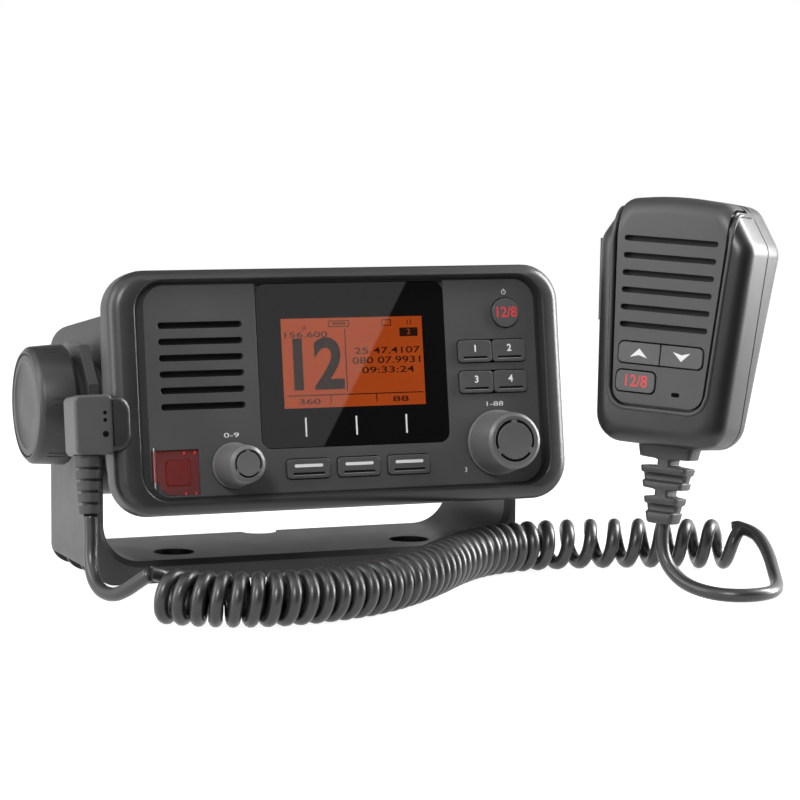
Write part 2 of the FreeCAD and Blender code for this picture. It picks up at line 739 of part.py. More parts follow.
def rear_housing():
    """Die-cast housing: flange, sloping shoulder, gimbal bosses and cooling fins."""
    body = new_body("rear_housing")
    front = S.bezel_back + S.seal_thick
    flange_back = front + S.flange_thick
    flange = sketch_on(body, FRONT, y=front)
    bezel_outline(flange, S.flange_inset)
    pad(body, flange, S.flange_thick, away=True)
    near = sketch_on(body, FRONT, y=flange_back)
    bezel_outline(near, S.flange_inset)
    far = sketch_on(body, FRONT, y=flange_back + S.shoulder_length)
    middle_rectangle(far, S.housing_width, S.housing_height, S.housing_corner)
    loft(body, near, far)
    case = sketch_on(body, FRONT, y=flange_back + S.shoulder_length)
    middle_rectangle(case, S.housing_width, S.housing_height, S.housing_corner)
    pad(body, case, S.housing_back - flange_back - S.shoulder_length, away=True)

    hollow = sketch_on(body, FRONT, y=front)
    middle_rectangle(hollow, S.housing_width - S.wall * 2, S.housing_height - S.wall * 2,
                     S.housing_corner - S.wall)
    pocket(body, hollow, S.housing_back - front - S.wall)

    boss_out = S.leg_span / 2 - S.leg_thick - S.washer_gap - S.washer_thick
    boss_in = S.housing_width / 2 - S.insert_length
    for side in (-1, 1):
        disc = sketch_on(body, SIDE, x=side * boss_out)
        circle(disc, S.axis_back, 0, S.boss_radius)
        pad(body, disc, boss_out - S.housing_width / 2 + S.wall / 2, away=side > 0)
        core = sketch_on(body, SIDE, x=side * boss_out)
        circle(core, S.axis_back, 0, S.insert_radius + S.wall)
        pad(body, core, boss_out - boss_in + S.wall, away=side > 0)
        bore = sketch_on(body, SIDE, x=side * boss_out)
        circle(bore, S.axis_back, 0, S.insert_radius)
        pocket(body, bore, boss_out - boss_in, towards=side < 0)

    screw_holes(body, front, S.flange_thick * 2, S.screw_radius)
    screw_holes(body, front + S.flange_thick * 0.75, S.shoulder_length, S.screw_head + S.fit)

    fin = sketch_on(body, FRONT, y=S.housing_back)
    first = -S.fin_pitch * (S.fin_count - 1) / 2
    rectangle(fin, first - S.fin_thick / 2, first + S.fin_thick / 2,
              -S.housing_height / 2 + S.wall, S.housing_height / 2 - S.wall)
    grown = pad(body, fin, S.fin_depth, away=True)
    repeat(body, grown, fin, "H_Axis", S.fin_pitch, S.fin_count)
    for side, radius in ((-1, 9), (1, 11)):
        pit = sketch_on(body, FRONT, y=S.housing_back)
        circle(pit, side * S.housing_width / 4, 0, radius)
        pocket(body, pit, S.fin_depth + 1)
    keep(body, RADIO)


def rear_fitting(label, x, radius, length, collar, bore):
    """A turned fitting through the housing's back wall."""
    body = new_body(label)
    profile = sketch_on(body, TOP, x=x)
    back = S.housing_back
    outline(profile, [(0, back, 0), (collar, back, 0), (collar, back + 2, 0),
                      (radius, back + 2, 0), (radius, back + length, 0), (bore, back + length, 0),
                      (bore, back + length - 6, 0), (0, back + length - 6, 0)])
    revolve(body, profile, "V_Axis")
    keep(body, RADIO)


def case_screws():
    """Screws from the flange into the bezel."""
    top = S.bezel_back + S.seal_thick + S.flange_thick * 0.75
    made = []
    for index, (x, z) in enumerate(screw_spots()):
        body = new_body(f"case_screw_{index + 1}")
        profile = sketch_on(body, TOP, x=x, z=z)
        outline(profile, [(0, S.panel_thick, 0), (S.screw_radius, S.panel_thick, 0),
                          (S.screw_radius, top, 0), (S.screw_head, top, 0),
                          (S.screw_head, top + S.screw_head_thick, 0),
                          (0, top + S.screw_head_thick, 0)])
        revolve(body, profile, "V_Axis")
        made.append(body)
    keep(group("case_screws", *made), RADIO)


# ---------------------------------------------------------------- radio insides

def front_board():
    """Board behind the keys; it stops short of the loudspeaker."""
    body = new_body("front_board")
    plate = sketch_on(body, FRONT, y=S.board_front)
    half_wide = S.panel_width / 2 - S.ledge - S.fit
    half_high = S.panel_height / 2 - S.panel_rise - S.ledge - S.fit
    corner = S.panel_corner - S.ledge
    outline(plate, [(-half_wide, -half_high, corner), (half_wide, -half_high, corner),
                    (half_wide, half_high, corner), (-S.glass_left, half_high, 0),
                    (-S.glass_left, -S.soft_z + 14, 0), (-half_wide, -S.soft_z + 14, 0)])
    pad(body, plate, S.board_thick, away=True)
    keep(body, RADIO)


def main_board():
    """Transceiver board across the housing, held by the housing's side walls."""
    body = new_body("main_board")
    plate = sketch_on(body, FRONT, y=S.board_front + 20)
    half_wide = S.housing_width / 2 - S.wall - S.shaft_fit
    half_high = S.housing_height / 2 - S.wall - S.shaft_fit
    rectangle(plate, -half_wide, half_wide, -half_high, half_high, S.housing_corner - S.wall)
    pad(body, plate, S.board_thick, away=True)
    keep(body, RADIO)


def membrane_pad(label, x, z, wide, high):
    body = new_body(label)
    plate = sketch_on(body, FRONT, y=S.board_front - S.membrane_thick)
    middle_rectangle(plate, wide, high, 1, x=x, y=z)
    pad(body, plate, S.membrane_thick, away=True)
    return body


def key_membranes():
    """Silicone pads under the soft keys, function keys and power key."""
    soft = membrane_pad("soft_pad", S.soft_x, -S.soft_z, S.soft_pitch * 3, S.soft_high)
    pair = membrane_pad("pair_pad", S.pair_x, S.pair_z, S.pair_pitch * 2 - 1,
                        S.pair_rows + S.pair_high)
    power = membrane_pad("power_pad", S.power_x, S.power_z, S.power_radius * 2,
                         S.power_radius * 2)
    keep(group("key_membrane", soft, pair, power), RADIO)


def encoders():
    """Bodies of the two rotary encoders, seated on the front board."""
    made = []
    for name, x, z in (("volume", -S.volume_x, -S.volume_z), ("select", S.select_x, -S.select_z)):
        body = new_body(f"{name}_encoder")
        block = sketch_on(body, FRONT, y=S.board_front)
        middle_rectangle(block, S.encoder_size, S.encoder_size, 0, x=x, y=z)
        pad(body, block, S.board_front - S.panel_thick)
        bore = sketch_on(body, FRONT, y=S.panel_thick)
        circle(bore, x, z, S.shaft_radius + S.shaft_fit)
        pocket(body, bore, S.board_front - S.panel_thick - 1)
        made.append(body)
    keep(group("encoders", *made), RADIO)


# ---------------------------------------------------------------- keys and knobs

def key_foot():
    """Where a key ends behind the panel, short of the membrane by its stroke."""
    return S.board_front - S.membrane_thick - S.key_travel - S.shaft_fit


def rectangular_key(label, x, z, wide, high):
    """A key cap with a keeper flange behind the panel."""
    body = new_body(label)
    cap = sketch_on(body, FRONT, y=-S.key_rise)
    middle_rectangle(cap, wide, high, S.key_corner, x=x, y=z)
    pad(body, cap, S.key_rise + key_foot(), away=True)
    dress(body, "Fillet", S.key_rise * 0.4, lambda e: lies_at(e, "y", -S.key_rise))
    keep(body, RADIO)


def keys():
    names = ("left_soft_key", "middle_soft_key", "right_soft_key")
    for index, label in zip((-1, 0, 1), names):
        rectangular_key(label, S.soft_x + index * S.soft_pitch, -S.soft_z,
                        S.soft_wide, S.soft_high)
    for row, level in ((1, "upper"), (-1, "lower")):
        for column, hand in ((-1, "left"), (1, "right")):
            rectangular_key(f"{level}_{hand}_key", S.pair_x + column * S.pair_pitch / 2,
                            S.pair_z + row * S.pair_rows / 2, S.pair_wide, S.pair_high)
    body = new_body("power_key")
    cap = sketch_on(body, FRONT, y=-S.key_rise)
    circle(cap, S.power_x, S.power_z, S.power_radius)
    pad(body, cap, S.key_rise + key_foot(), away=True)
    dress(body, "Fillet", S.key_rise * 0.4, lambda e: lies_at(e, "y", -S.key_rise))
    keep(body, RADIO)


def dial(name, x, z, foot, cap):
    """An encoder shaft and the knob that slides on it when pushed."""
    shaft = new_body(f"{name}_shaft")
    spindle = sketch_on(shaft, FRONT, x=x, y=S.board_front - 1.2, z=z)
    circle(spindle, 0, 0, S.shaft_radius)
    pad(shaft, spindle, S.board_front - 1.2 + S.knob_rise - 4)
    keep(shaft, RADIO)

    knob = new_body(f"{name}_knob")
    skirt_top = -S.knob_gap - S.knob_skirt
    profile = sketch_on(knob, TOP, x=x, z=z)
    bore = S.shaft_radius + S.shaft_fit
    depth = 4 - S.knob_gap - S.fit
    outline(profile, [(bore, -S.knob_gap, 0), (foot, -S.knob_gap, 0), (foot, skirt_top, 0),
                      (cap + 0.5, skirt_top - 1.2, 0), (cap, -S.knob_rise + 1.1, 0),
                      (cap - 1.1, -S.knob_rise, 0), (cap * 0.74, -S.knob_rise, 0),
                      (cap * 0.74, -S.knob_rise + 0.7, 0), (cap * 0.62, -S.knob_rise + 0.7, 0),
                      (cap * 0.62, -S.knob_rise, 0), (0, -S.knob_rise, 0),
                      (0, -S.knob_rise + depth, 0), (bore, -S.knob_rise + depth, 0)])
    revolve(knob, profile, "V_Axis")
    keep(knob, RADIO)


def distress_parts():
    """Hinged see-through cover, its pin and the button under it."""
    cover = new_body("distress_cover")
    lid = sketch_on(cover, FRONT, y=-S.cover_rise)
    outline(lid, [(-S.cover_left + 1.5, -S.cover_bottom, S.cover_corner), (-S.cover_right, -S.cover_bottom, 1),
                  (-S.cover_right, -S.cover_top, 1), (-S.cover_left + 1.5, -S.cover_top, 0)])
    pad(cover, lid, S.cover_thick, away=True)
    knuckle_length = S.cover_bottom - S.cover_top - S.cover_corner
    knuckle = sketch_on(cover, TOP, z=-S.cover_top)
    reach = S.cover_pin * 2
    rectangle(knuckle, -S.cover_left, -S.cover_left + 2.2, -S.cover_rise, S.cover_thick - S.cover_rise)
    pad(cover, knuckle, knuckle_length, away=True)
    barrel = sketch_on(cover, TOP, z=-S.cover_top)
    circle(barrel, -S.cover_left, S.cover_pin, reach - 0.1)
    pad(cover, barrel, knuckle_length, away=True)
    bore = sketch_on(cover, TOP, z=-S.cover_top)
    circle(bore, -S.cover_left, S.cover_pin, S.cover_pin + S.shaft_fit)
    pocket(cover, bore, knuckle_length)
    keep(cover, RADIO)

    pin = new_body("cover_hinge_pin")
    rod = sketch_on(pin, TOP, z=-S.cover_top + S.fit + 1)
    circle(rod, -S.cover_left, S.cover_pin, S.cover_pin)
    pad(pin, rod, S.cover_bottom - S.cover_top + S.fit * 3, away=True)
    keep(pin, RADIO)

    button = new_body("distress_button")
    middle = -(S.cover_left + S.cover_right) / 2 + 1
    front = S.cover_thick - S.cover_rise + S.fit
    cap = sketch_on(button, FRONT, y=front)
    middle_rectangle(cap, S.distress_size, S.distress_size, S.key_corner,
                     x=middle, y=-(S.cover_top + S.cover_bottom) / 2)
    pad(button, cap, S.board_front - front - S.key_travel - S.shaft_fit, away=True)
    keep(button, RADIO)


# ---------------------------------------------------------------- gimbal

def gimbal():
    """Thumb knobs with their studs, brass inserts and friction washers."""
    leg_out = S.leg_span / 2
    leg_in = leg_out - S.leg_thick
    insert_out = leg_in - S.washer_gap - S.washer_thick
    inserts = []
    inner_washers = []
    outer_washers = []
    for side, hand in ((-1, "left"), (1, "right")):
        insert = new_body(f"{hand}_insert")
        profile = sketch_on(insert, TOP, y=S.axis_back)
        outline(profile, [(side * insert_out, S.stud_radius + S.shaft_fit, 0),
                          (side * insert_out, S.insert_radius, 0),
                          (side * (insert_out - S.insert_length), S.insert_radius, 0),
                          (side * (insert_out - S.insert_length), S.stud_radius + S.shaft_fit, 0)])
        revolve(insert, profile)
        inserts.append(insert)

        for made, inside, outside, radius in (
                (inner_washers, insert_out + S.shaft_fit, leg_in, S.boss_radius - 1),
                (outer_washers, leg_out, S.knob_inner - S.fit, S.knob_radius - 4)):
            washer = new_body(f"{hand}_washer_{len(made)}_{'in' if made is inner_washers else 'out'}")
            profile = sketch_on(washer, TOP, z=S.axis_height)
            outline(profile, [(side * inside, S.stud_radius + S.fit, 0), (side * inside, radius, 0),
                              (side * outside, radius, 0),
                              (side * outside, S.stud_radius + S.fit, 0)])
            revolve(washer, profile)
            made.append(washer)

        knob = new_body(f"{hand}_gimbal_knob")
        profile = sketch_on(knob, TOP, y=S.axis_back)
        rim = S.knob_radius
        grip = S.stud_radius + S.shaft_fit
        outline(profile, [(side * S.knob_inner, grip, 0), (side * S.knob_inner, rim - 1, 0),
                          (side * (S.knob_inner + 1), rim, 0),
                          (side * (S.knob_outer - S.knob_bevel), rim, 0),
                          (side * S.knob_outer, rim - S.knob_bevel, 0),
                          (side * S.knob_outer, S.knob_cap_radius, 0),
                          (side * (S.knob_outer - S.knob_dish * 3), S.knob_cap_radius, 0),
                          (side * (S.knob_outer - S.knob_dish * 3), grip, 0)])
        revolve(knob, profile)
        keep(knob, RADIO)

        cap = new_body(f"{hand}_knob_cap")
        profile = sketch_on(cap, TOP, y=S.axis_back)
        face = side * (S.knob_outer - S.knob_dish)
        dish = side * (S.knob_outer - S.knob_dish - 0.4)
        outline(profile, [(side * (S.knob_outer - S.knob_dish * 3), 0, 0),
                          (side * (S.knob_outer - S.knob_dish * 3), S.knob_cap_radius - 0.1, 0),
                          (face, S.knob_cap_radius - 0.6, 0), (face, S.knob_cap_radius - 3.4, 0),
                          (dish, S.knob_cap_radius - 4, 0), (dish, 0, 0)])
        revolve(cap, profile)
        keep(cap, RADIO)

        stud = new_body(f"{hand}_stud")
        profile = sketch_on(stud, TOP, y=S.axis_back)
        tip = side * (insert_out - S.insert_length + 2)
        outline(profile, [(tip, 0, 0), (tip, S.stud_radius, 0),
                          (side * (S.knob_outer - S.knob_dish * 3), S.stud_radius, 0),
                          (side * (S.knob_outer - S.knob_dish * 3), 0, 0)])
        revolve(stud, profile)
        keep(stud, RADIO)
    keep(group("gimbal_inserts", *inserts), RADIO)
    keep(group("gimbal_washers", *inner_washers, *outer_washers))


# ---------------------------------------------------------------- microphone plug

def plug():
    """Right-angle plug: body, spigot in the socket, and its ribbed boot."""
    across = S.plug_depth / 2 - S.plug_front
    middle = -(S.plug_left + S.plug_right) / 2
    body = new_body("plug_body")
    block = sketch_on(body, FRONT, y=-S.plug_front)
    rectangle(block, -S.plug_left, -S.plug_right, -S.plug_drop, 0, S.plug_round)
    pad(body, block, S.plug_depth, away=True)
    dress(body, "Fillet", S.plug_round * 0.5, lambda e: lies_at(e, "y", -S.plug_front))
    spigot = sketch_on(body, SIDE, x=-S.plug_right)
    circle(spigot, across, -S.plug_drop / 2, S.pin_radius - S.fit)
    pad(body, spigot, S.plug_right - S.boss_right - S.board_thick - 1)
    keep(body, RADIO)

    boot = new_body("plug_boot")
    step = S.boot_length / 5
    profile = sketch_on(boot, FRONT, x=middle - S.boot_offset, y=across)
    slim = (S.boot_top - S.boot_tip) / 5
    corners = [(0, -S.plug_drop, 0), (S.boot_top, -S.plug_drop, 0)]
    for rib in range(1, 5):
        wide = S.boot_top - slim * rib
        low = -S.plug_drop - step * rib
        corners += [(wide, low, 0), (wide - 1.4, low, 0), (wide - 1.4, low - 1.1, 0),
                    (wide, low - 1.1, 0)]
    corners += [(S.boot_tip, -S.plug_drop - S.boot_length, 0), (0, -S.plug_drop - S.boot_length, 0)]
    outline(profile, corners)
    revolve(boot, profile, "V_Axis")
    keep(boot, RADIO)


# ---------------------------------------------------------------- handset

def hand_outline(sketch, inset=0, top_drop=0):
    """Front outline of the handset: tapered sides, cut shoulders, round bottom."""
    foot = S.hand_foot - inset
    waist = S.hand_waist - inset
    crown = S.hand_crown - inset * 0.6
    top = S.hand_height - inset - top_drop
    outline(sketch, [(-foot, inset, 10), (foot, inset, 10), (waist, S.hand_shoulder - inset * 0.5, 4),
                     (crown, top, 5), (-crown, top, 5), (-waist, S.hand_shoulder - inset * 0.5, 4)])


def hand_panel_outline(sketch, grow=0):
    foot = S.hand_panel_foot + grow
    top = S.hand_panel_top + grow
    low = S.hand_panel_low - grow
    high = S.hand_panel_high + grow
    outline(sketch, [(-foot, low, 5), (foot, low, 5), (top, high, 3), (-top, high, 3)])


def talk_outline(sketch, grow=0, inner=0):
    """Talk button seen from the front, along the slanted left side."""
    slope = (S.hand_waist - S.hand_foot) / S.hand_shoulder
    low = S.hand_foot + slope * S.talk_low
    high = S.hand_foot + slope * S.talk_high
    depth = S.talk_rise + S.hand_wall + inner
    outline(sketch, [(-low - S.talk_rise - grow, S.talk_low - grow, 0),
                     (-low - S.talk_rise + depth + grow, S.talk_low - grow, 0),
                     (-high - S.talk_rise + depth + grow, S.talk_high + grow, 0),
                     (-high - S.talk_rise - grow, S.talk_high + grow, 0)])


def hand_openings(body, y, length, grow):
    """Slots, key holes and microphone hole through the front of the handset."""
    window = sketch_on(body, FRONT, y=y)
    middle_rectangle(window, S.hand_key_wide * 2 + 0.4 + grow * 2, S.hand_key_high + grow * 2,
                     2 + grow, y=S.hand_key_low + S.hand_key_high / 2)
    rectangle(window, -S.hand_key_wide - 0.2 - grow, -S.hand_key_wide - 0.2 + S.quick_key_wide + grow,
              S.quick_key_low - grow, S.quick_key_low + S.hand_key_high + grow, 2 + grow)
    middle_rectangle(window, 3.2, 1.5, 0.7, x=7.1, y=17.3)
    pocket(body, window, length)
    slot = sketch_on(body, FRONT, y=y)
    middle_rectangle(slot, S.hand_slot_length, S.hand_slot_high, S.hand_slot_high * 0.48,
                     y=S.hand_slot_low)
    cut = pocket(body, slot, length)
    repeat(body, cut, slot, "V_Axis", S.hand_slot_pitch, S.slot_count)


def handset_front_shell():
    """Front half: sloping cheeks round the panel's bed."""
    body = new_body("handset_front_shell")
    cheek = sketch_on(body, FRONT, y=S.hand_cheek)
    hand_outline(cheek)
    slope = pad(body, cheek, S.hand_cheek - 0.6)
    slope.TaperAngle = -52
    sides = sketch_on(body, FRONT, y=S.hand_cheek)
    hand_outline(sides)
    pad(body, sides, S.hand_seam - S.hand_cheek, away=True)
    bed = sketch_on(body, FRONT)
    hand_panel_outline(bed, S.fit)
    pocket(body, bed, S.hand_panel_thick)
    hollow = sketch_on(body, FRONT, y=S.hand_cheek)
    hand_outline(hollow, S.hand_wall)
    pocket(body, hollow, S.hand_seam - S.hand_cheek)
    hand_openings(body, S.hand_panel_thick, S.hand_cheek, S.fit)
    slit = sketch_on(body, FRONT, y=S.talk_front - S.fit)
    talk_outline(slit, S.fit, S.talk_travel)
    pocket(body, slit, S.talk_back - S.talk_front + S.fit * 2)
    keep(body, HANDSET)


def handset_rear_shell():
    """Back half: straight rim, then sides that round in to the back."""
    body = new_body("handset_rear_shell")
    rim = sketch_on(body, FRONT, y=S.hand_seam + 0.6)
    hand_outline(rim)
    pad(body, rim, 3, away=True)
    near = sketch_on(body, FRONT, y=S.hand_seam + 3.6)
    hand_outline(near)
    far = sketch_on(body, FRONT, y=S.hand_depth)
    hand_outline(far, 7)
    loft(body, near, far)
    hollow = sketch_on(body, FRONT, y=S.hand_seam + 0.6)
    hand_outline(hollow, 7 + S.hand_wall)
    pocket(body, hollow, S.hand_depth - S.hand_seam - 0.6 - S.hand_wall)
    keep(body, HANDSET)


def handset_seal():
    """Thin gasket in the handset's seam."""
    body = new_body("handset_seal")
    ring = sketch_on(body, FRONT, y=S.hand_seam)
    hand_outline(ring, 0.4)
    pad(body, ring, 0.6, away=True)
    inside = sketch_on(body, FRONT, y=S.hand_seam)
    hand_outline(inside, S.hand_wall)
    pocket(body, inside, 0.6)
    keep(body, HANDSET)


def handset_face_panel():
    """Panel with the handset's slots and key openings."""
    body = new_body("handset_face_panel")
    plate = sketch_on(body, FRONT)
    hand_panel_outline(plate)
    pad(body, plate, S.hand_panel_thick, away=True)
    hand_openings(body, 0, S.hand_panel_thick, S.fit)
    keep(body, HANDSET)


def handset_insides():
    """Loudspeaker, board, microphone capsule and talk switch."""
    speaker_z = S.hand_slot_low + S.hand_slot_pitch * 2.5
    cone = new_body("handset_speaker")
    profile = sketch_on(cone, TOP, z=speaker_z)
    front = S.hand_cheek
    outline(profile, [(0, front, 0), (16, front, 0), (16, front + 2, 0), (9, front + 5, 0),
                      (9, front + 8, 0), (0, front + 8, 0)])
    revolve(cone, profile, "V_Axis")
    keep(cone, HANDSET)

    board = new_body("handset_board")
    plate = sketch_on(board, FRONT, y=S.hand_seam - S.board_thick)
    hand_outline(plate, S.hand_wall + 0.1)
    pad(board, plate, S.board_thick, away=True)
    keep(board, HANDSET)

    capsule = new_body("microphone_capsule")
    profile = sketch_on(capsule, FRONT, y=S.hand_cheek)
    circle(profile, 7.1, 17.3, 4)
    pad(capsule, profile, 5, away=True)
    keep(capsule, HANDSET)


def handset_key_mat():
    """Silicone mat that springs the handset's keys back, on posts off the board."""
    mat = new_body("handset_key_mat")
    front = S.hand_cheek + 1.4 + S.hand_key_travel + S.shaft_fit
    plate = sketch_on(mat, FRONT, y=front)
    left = -S.hand_key_wide - 0.4
    low = S.quick_key_low - 0.5
    step = S.hand_key_low - 0.8
    high = S.hand_key_low + S.hand_key_high + 0.5
    outline(plate, [(left, low, 0), (left + S.quick_key_wide, low, 0),
                    (left + S.quick_key_wide, step, 0), (-left, step, 0), (-left, high, 0),
                    (left, high, 0)])
    pad(mat, plate, S.membrane_thick, away=True)
    posts = sketch_on(mat, FRONT, y=front + S.membrane_thick)
    for x in (-1, 1):
        circle(posts, x * S.hand_key_wide / 2, S.hand_key_low + S.hand_key_high / 2, 2.5)
    circle(posts, left + S.quick_key_wide / 2, S.quick_key_low + S.hand_key_high / 2, 2.5)
    pad(mat, posts, S.hand_seam - S.board_thick - front - S.membrane_thick, away=True)
    keep(mat, HANDSET)


def talk_switch():
    """Microswitch on the board beside the talk button."""
    body = new_body("talk_switch")
    back = S.hand_seam - S.board_thick
    block = sketch_on(body, FRONT, y=back)
    rectangle(block, -S.hand_foot + S.hand_wall + 1.5, -S.hand_foot + S.hand_wall + 5,
              S.talk_low + 10, S.talk_low + 18)
    pad(body, block, 4)
    keep(body, HANDSET)


def hanger_stud():
    """Mushroom stud on the handset's back, for a hang-up clip."""
    body = new_body("hanger_stud")
    back = S.hand_depth
    profile = sketch_on(body, TOP, z=S.hand_shoulder * 0.75)
    neck = back + S.hanger_neck
    head = neck + S.hanger_rim
    outline(profile, [(0, back, 0), (S.hanger_neck, back, 0), (S.hanger_neck, neck, 0),
                      (S.hanger_head, neck, 0), (S.hanger_head, head, 0),
                      (S.hanger_head - S.hanger_bevel, head + S.hanger_bevel, 0),
                      (0, head + S.hanger_bevel, 0)])
    revolve(body, profile, "V_Axis")
    keep(body, HANDSET)


def handset_key(label, left, wide, low, mid_side):
    body = new_body(label)
    cap = sketch_on(body, FRONT, y=-S.hand_key_rise)
    near, far = (0.3, 2) if mid_side == "left" else (2, 0.3)
    if mid_side == "none":
        near = far = 2
    outline(cap, [(left, low, near), (left + wide, low, far),
                  (left + wide, low + S.hand_key_high, far), (left, low + S.hand_key_high, near)])
    foot = S.hand_cheek + 1.4
    pad(body, cap, S.hand_key_rise + foot, away=True)
    keep(body, HANDSET)


def handset_keys():
    handset_key("up_key", -S.hand_key_wide - 0.2, S.hand_key_wide, S.hand_key_low, "right")
    handset_key("down_key", S.fit, S.hand_key_wide, S.hand_key_low, "left")
    handset_key("channel_key", -S.hand_key_wide - 0.2, S.quick_key_wide, S.quick_key_low, "none")


def talk_button():
    body = new_body("talk_button")
    bar = sketch_on(body, FRONT, y=S.talk_front)
    talk_outline(bar)
    pad(body, bar, S.talk_back - S.talk_front, away=True)
    keep(body, HANDSET)


def handset_boot():
    """Flat strain relief that narrows from the shell to the cord."""
    body = new_body("handset_boot")
    top = sketch_on(body, TOP, y=S.hand_boot_y)
    middle_rectangle(top, S.hand_boot_wide * 2, S.hand_boot_thick * 2, S.hand_boot_thick * 0.8)
    tip = sketch_on(body, TOP, y=S.hand_boot_y, z=-S.hand_boot_length)
    middle_rectangle(tip, S.hand_boot_tip * 2, S.hand_boot_tip * 2, S.hand_boot_tip * 0.8)
    loft(body, top, tip)
    keep(body, HANDSET)


# ---------------------------------------------------------------- cords

def tube_path(points):
    """Straight runs joined by tangent arcs as large as the runs allow."""
    radii = []
    edges = []
    start = points[0]
    for before, corner, after in zip(points, points[1:], points[2:]):
        run_in = corner - before
        run_out = after - corner
        turn = run_in.getAngle(run_out)
        radius = 0.45 * min(run_in.Length, run_out.Length) / math.tan(turn / 2)
        first, middle, last = corner_arc(before, corner, after, radius)
        radii.append(radius)
        edges.append(Part.LineSegment(start, first).toShape())
        edges.append(Part.Arc(first, middle, last).toShape())
        start = last
    edges.append(Part.LineSegment(start, points[-1]).toShape())
    return Part.Wire(edges), radii


def cord_tube(label, points, radius):
    """A round tube along the points, as one solid."""
    path, radii = tube_path(points)
    direction = points[1] - points[0]
    end = Part.Wire(Part.Circle(points[0], direction, radius).toShape())
    solid = path.makePipeShell([end], True, False)
    part = doc.addObject("Part::Feature", label)
    part.Label = label
    part.Shape = solid
    ideal = math.pi * radius ** 2 * path.Length
    print(f"{label}: length {path.Length:.1f}, volume {solid.Volume / ideal:.4f} of the ideal,",
          "radii", " ".join(f"{r:.0f}" for r in radii))
    keep(part)


def cords():
    """Lead from the plug, curly cord lying on the surface, lead up to the handset."""
    cord = S.cord_radius.number
    coil = S.coil_radius.number
    middle = -((S.plug_left + S.plug_right) / 2 + S.boot_offset).number
    across = (S.plug_depth / 2 - S.plug_front).number
    plug_exit = RADIO.multVec(V(middle, across, -(S.plug_drop + S.boot_length).number))
    down = RADIO.Rotation.multVec(V(0, 0, -1))
    coil_route = [V(-84, -102, coil), V(-77, -112, coil), V(-63, -121, coil), V(-47, -125, coil),
                  V(-28, -122.5, coil), V(-10, -116, coil), V(6, -104.5, coil), V(22, -89, coil),
                  V(38, -70.5, coil), V(54, -55.5, coil), V(72, -48, coil), V(91, -48.3, coil),
                  V(109, -51.6, coil), V(126, -57, coil), V(142, -64.5, coil), V(155, -71.5, coil)]
    lift = V(0, 0, coil - cord)
    cord_tube("radio_lead", [plug_exit, plug_exit + down * 7, V(-94.4, -66.9, 16.6),
                             V(-94.8, -71, 10.7), V(-94.1, -77.4, 7.1), V(-91.8, -84.6, 6.5),
                             V(-89.3, -91.2, 9), V(-86.7, -97, 12.8), coil_route[0] + lift], cord)
    cord_tube("curly_cord", coil_route, coil)
    hand_exit = HANDSET.multVec(V(0, S.hand_boot_y.number, -S.hand_boot_length.number))
    hand_down = HANDSET.Rotation.multVec(V(0, 0, -1))
    cord_tube("handset_lead", [hand_exit, hand_exit + hand_down * 7, V(103.2, -109.8, 11.7),
                               V(104.6, -114.2, 7.3), V(106.4, -120, 4.6), V(109, -126.5, 3.3),
                               V(112.8, -132.7, 2.7), V(119, -136.8, 2.6), V(126.4, -137, 2.6),
                               V(133, -133.7, 2.6), V(138.2, -127.9, 2.7), V(142.8, -119.5, 3.2),
                               V(147, -110, 5), V(151, -100, 8.5), V(154, -90, 12),
                               V(155.5, -80.5, 15), coil_route[-1] + lift], cord)


# ---------------------------------------------------------------- build

def check(part):
    """Stop on a failed object or a broken shape."""
    shape = part.Shape
    if shape.isNull() or not shape.isValid():
        raise RuntimeError(f"{part.Label}: shape is null or not valid")


bracket()
front_bezel()
mic_socket()
face_panel()
display_window()
display_module()
speaker_mesh()
speaker()
housing_seal()
rear_housing()
rear_fitting("antenna_socket", S.housing_width / 4, 7.9, 15, 10.5, 3.5)
rear_fitting("power_gland", -S.housing_width / 4, 5, 8, 8.5, 2.5)
case_screws()
front_board()
main_board()
key_membranes()
encoders()
keys()
dial("volume", -S.volume_x, -S.volume_z, S.volume_base, S.volume_cap)
dial("select", S.select_x, -S.select_z, S.select_base, S.select_cap)
distress_parts()
gimbal()
plug()
handset_front_shell()
handset_rear_shell()
handset_seal()
handset_face_panel()
handset_insides()
handset_keys()
handset_key_mat()
talk_button()
talk_switch()
hanger_stud()
handset_boot()
cords()
doc.recompute()

failed = [o.Label for o in doc.Objects if {"Invalid", "Error"} & set(o.State)]
if failed:
    raise RuntimeError(f"failed objects: {failed}")
for part in PARTS.values():
    check(part)

os.makedirs("parts", exist_ok=True)
for label, part in PARTS.items():
    part.Shape.exportStep(os.path.join("parts", label + ".step"))
print(len(PARTS), "parts written")
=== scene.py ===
# %% [markdown]
# # A marine radio with its hand microphone
#
# This notebook dresses a finished CAD model. The model comes in as a fixed frame, in metres,
# with X to the right, Y away from whoever faces the set, and Z up. Nothing in it is moved or
# reshaped. Parts whose shape is right get a better material. The cord, the printed marks and
# some softer forms, which CAD solids only stand in for, are built here as their own pieces.

# %% Load the model
from math import cos, pi, radians, sin, tan

import bmesh
import bpy
from mathutils import Matrix, Vector


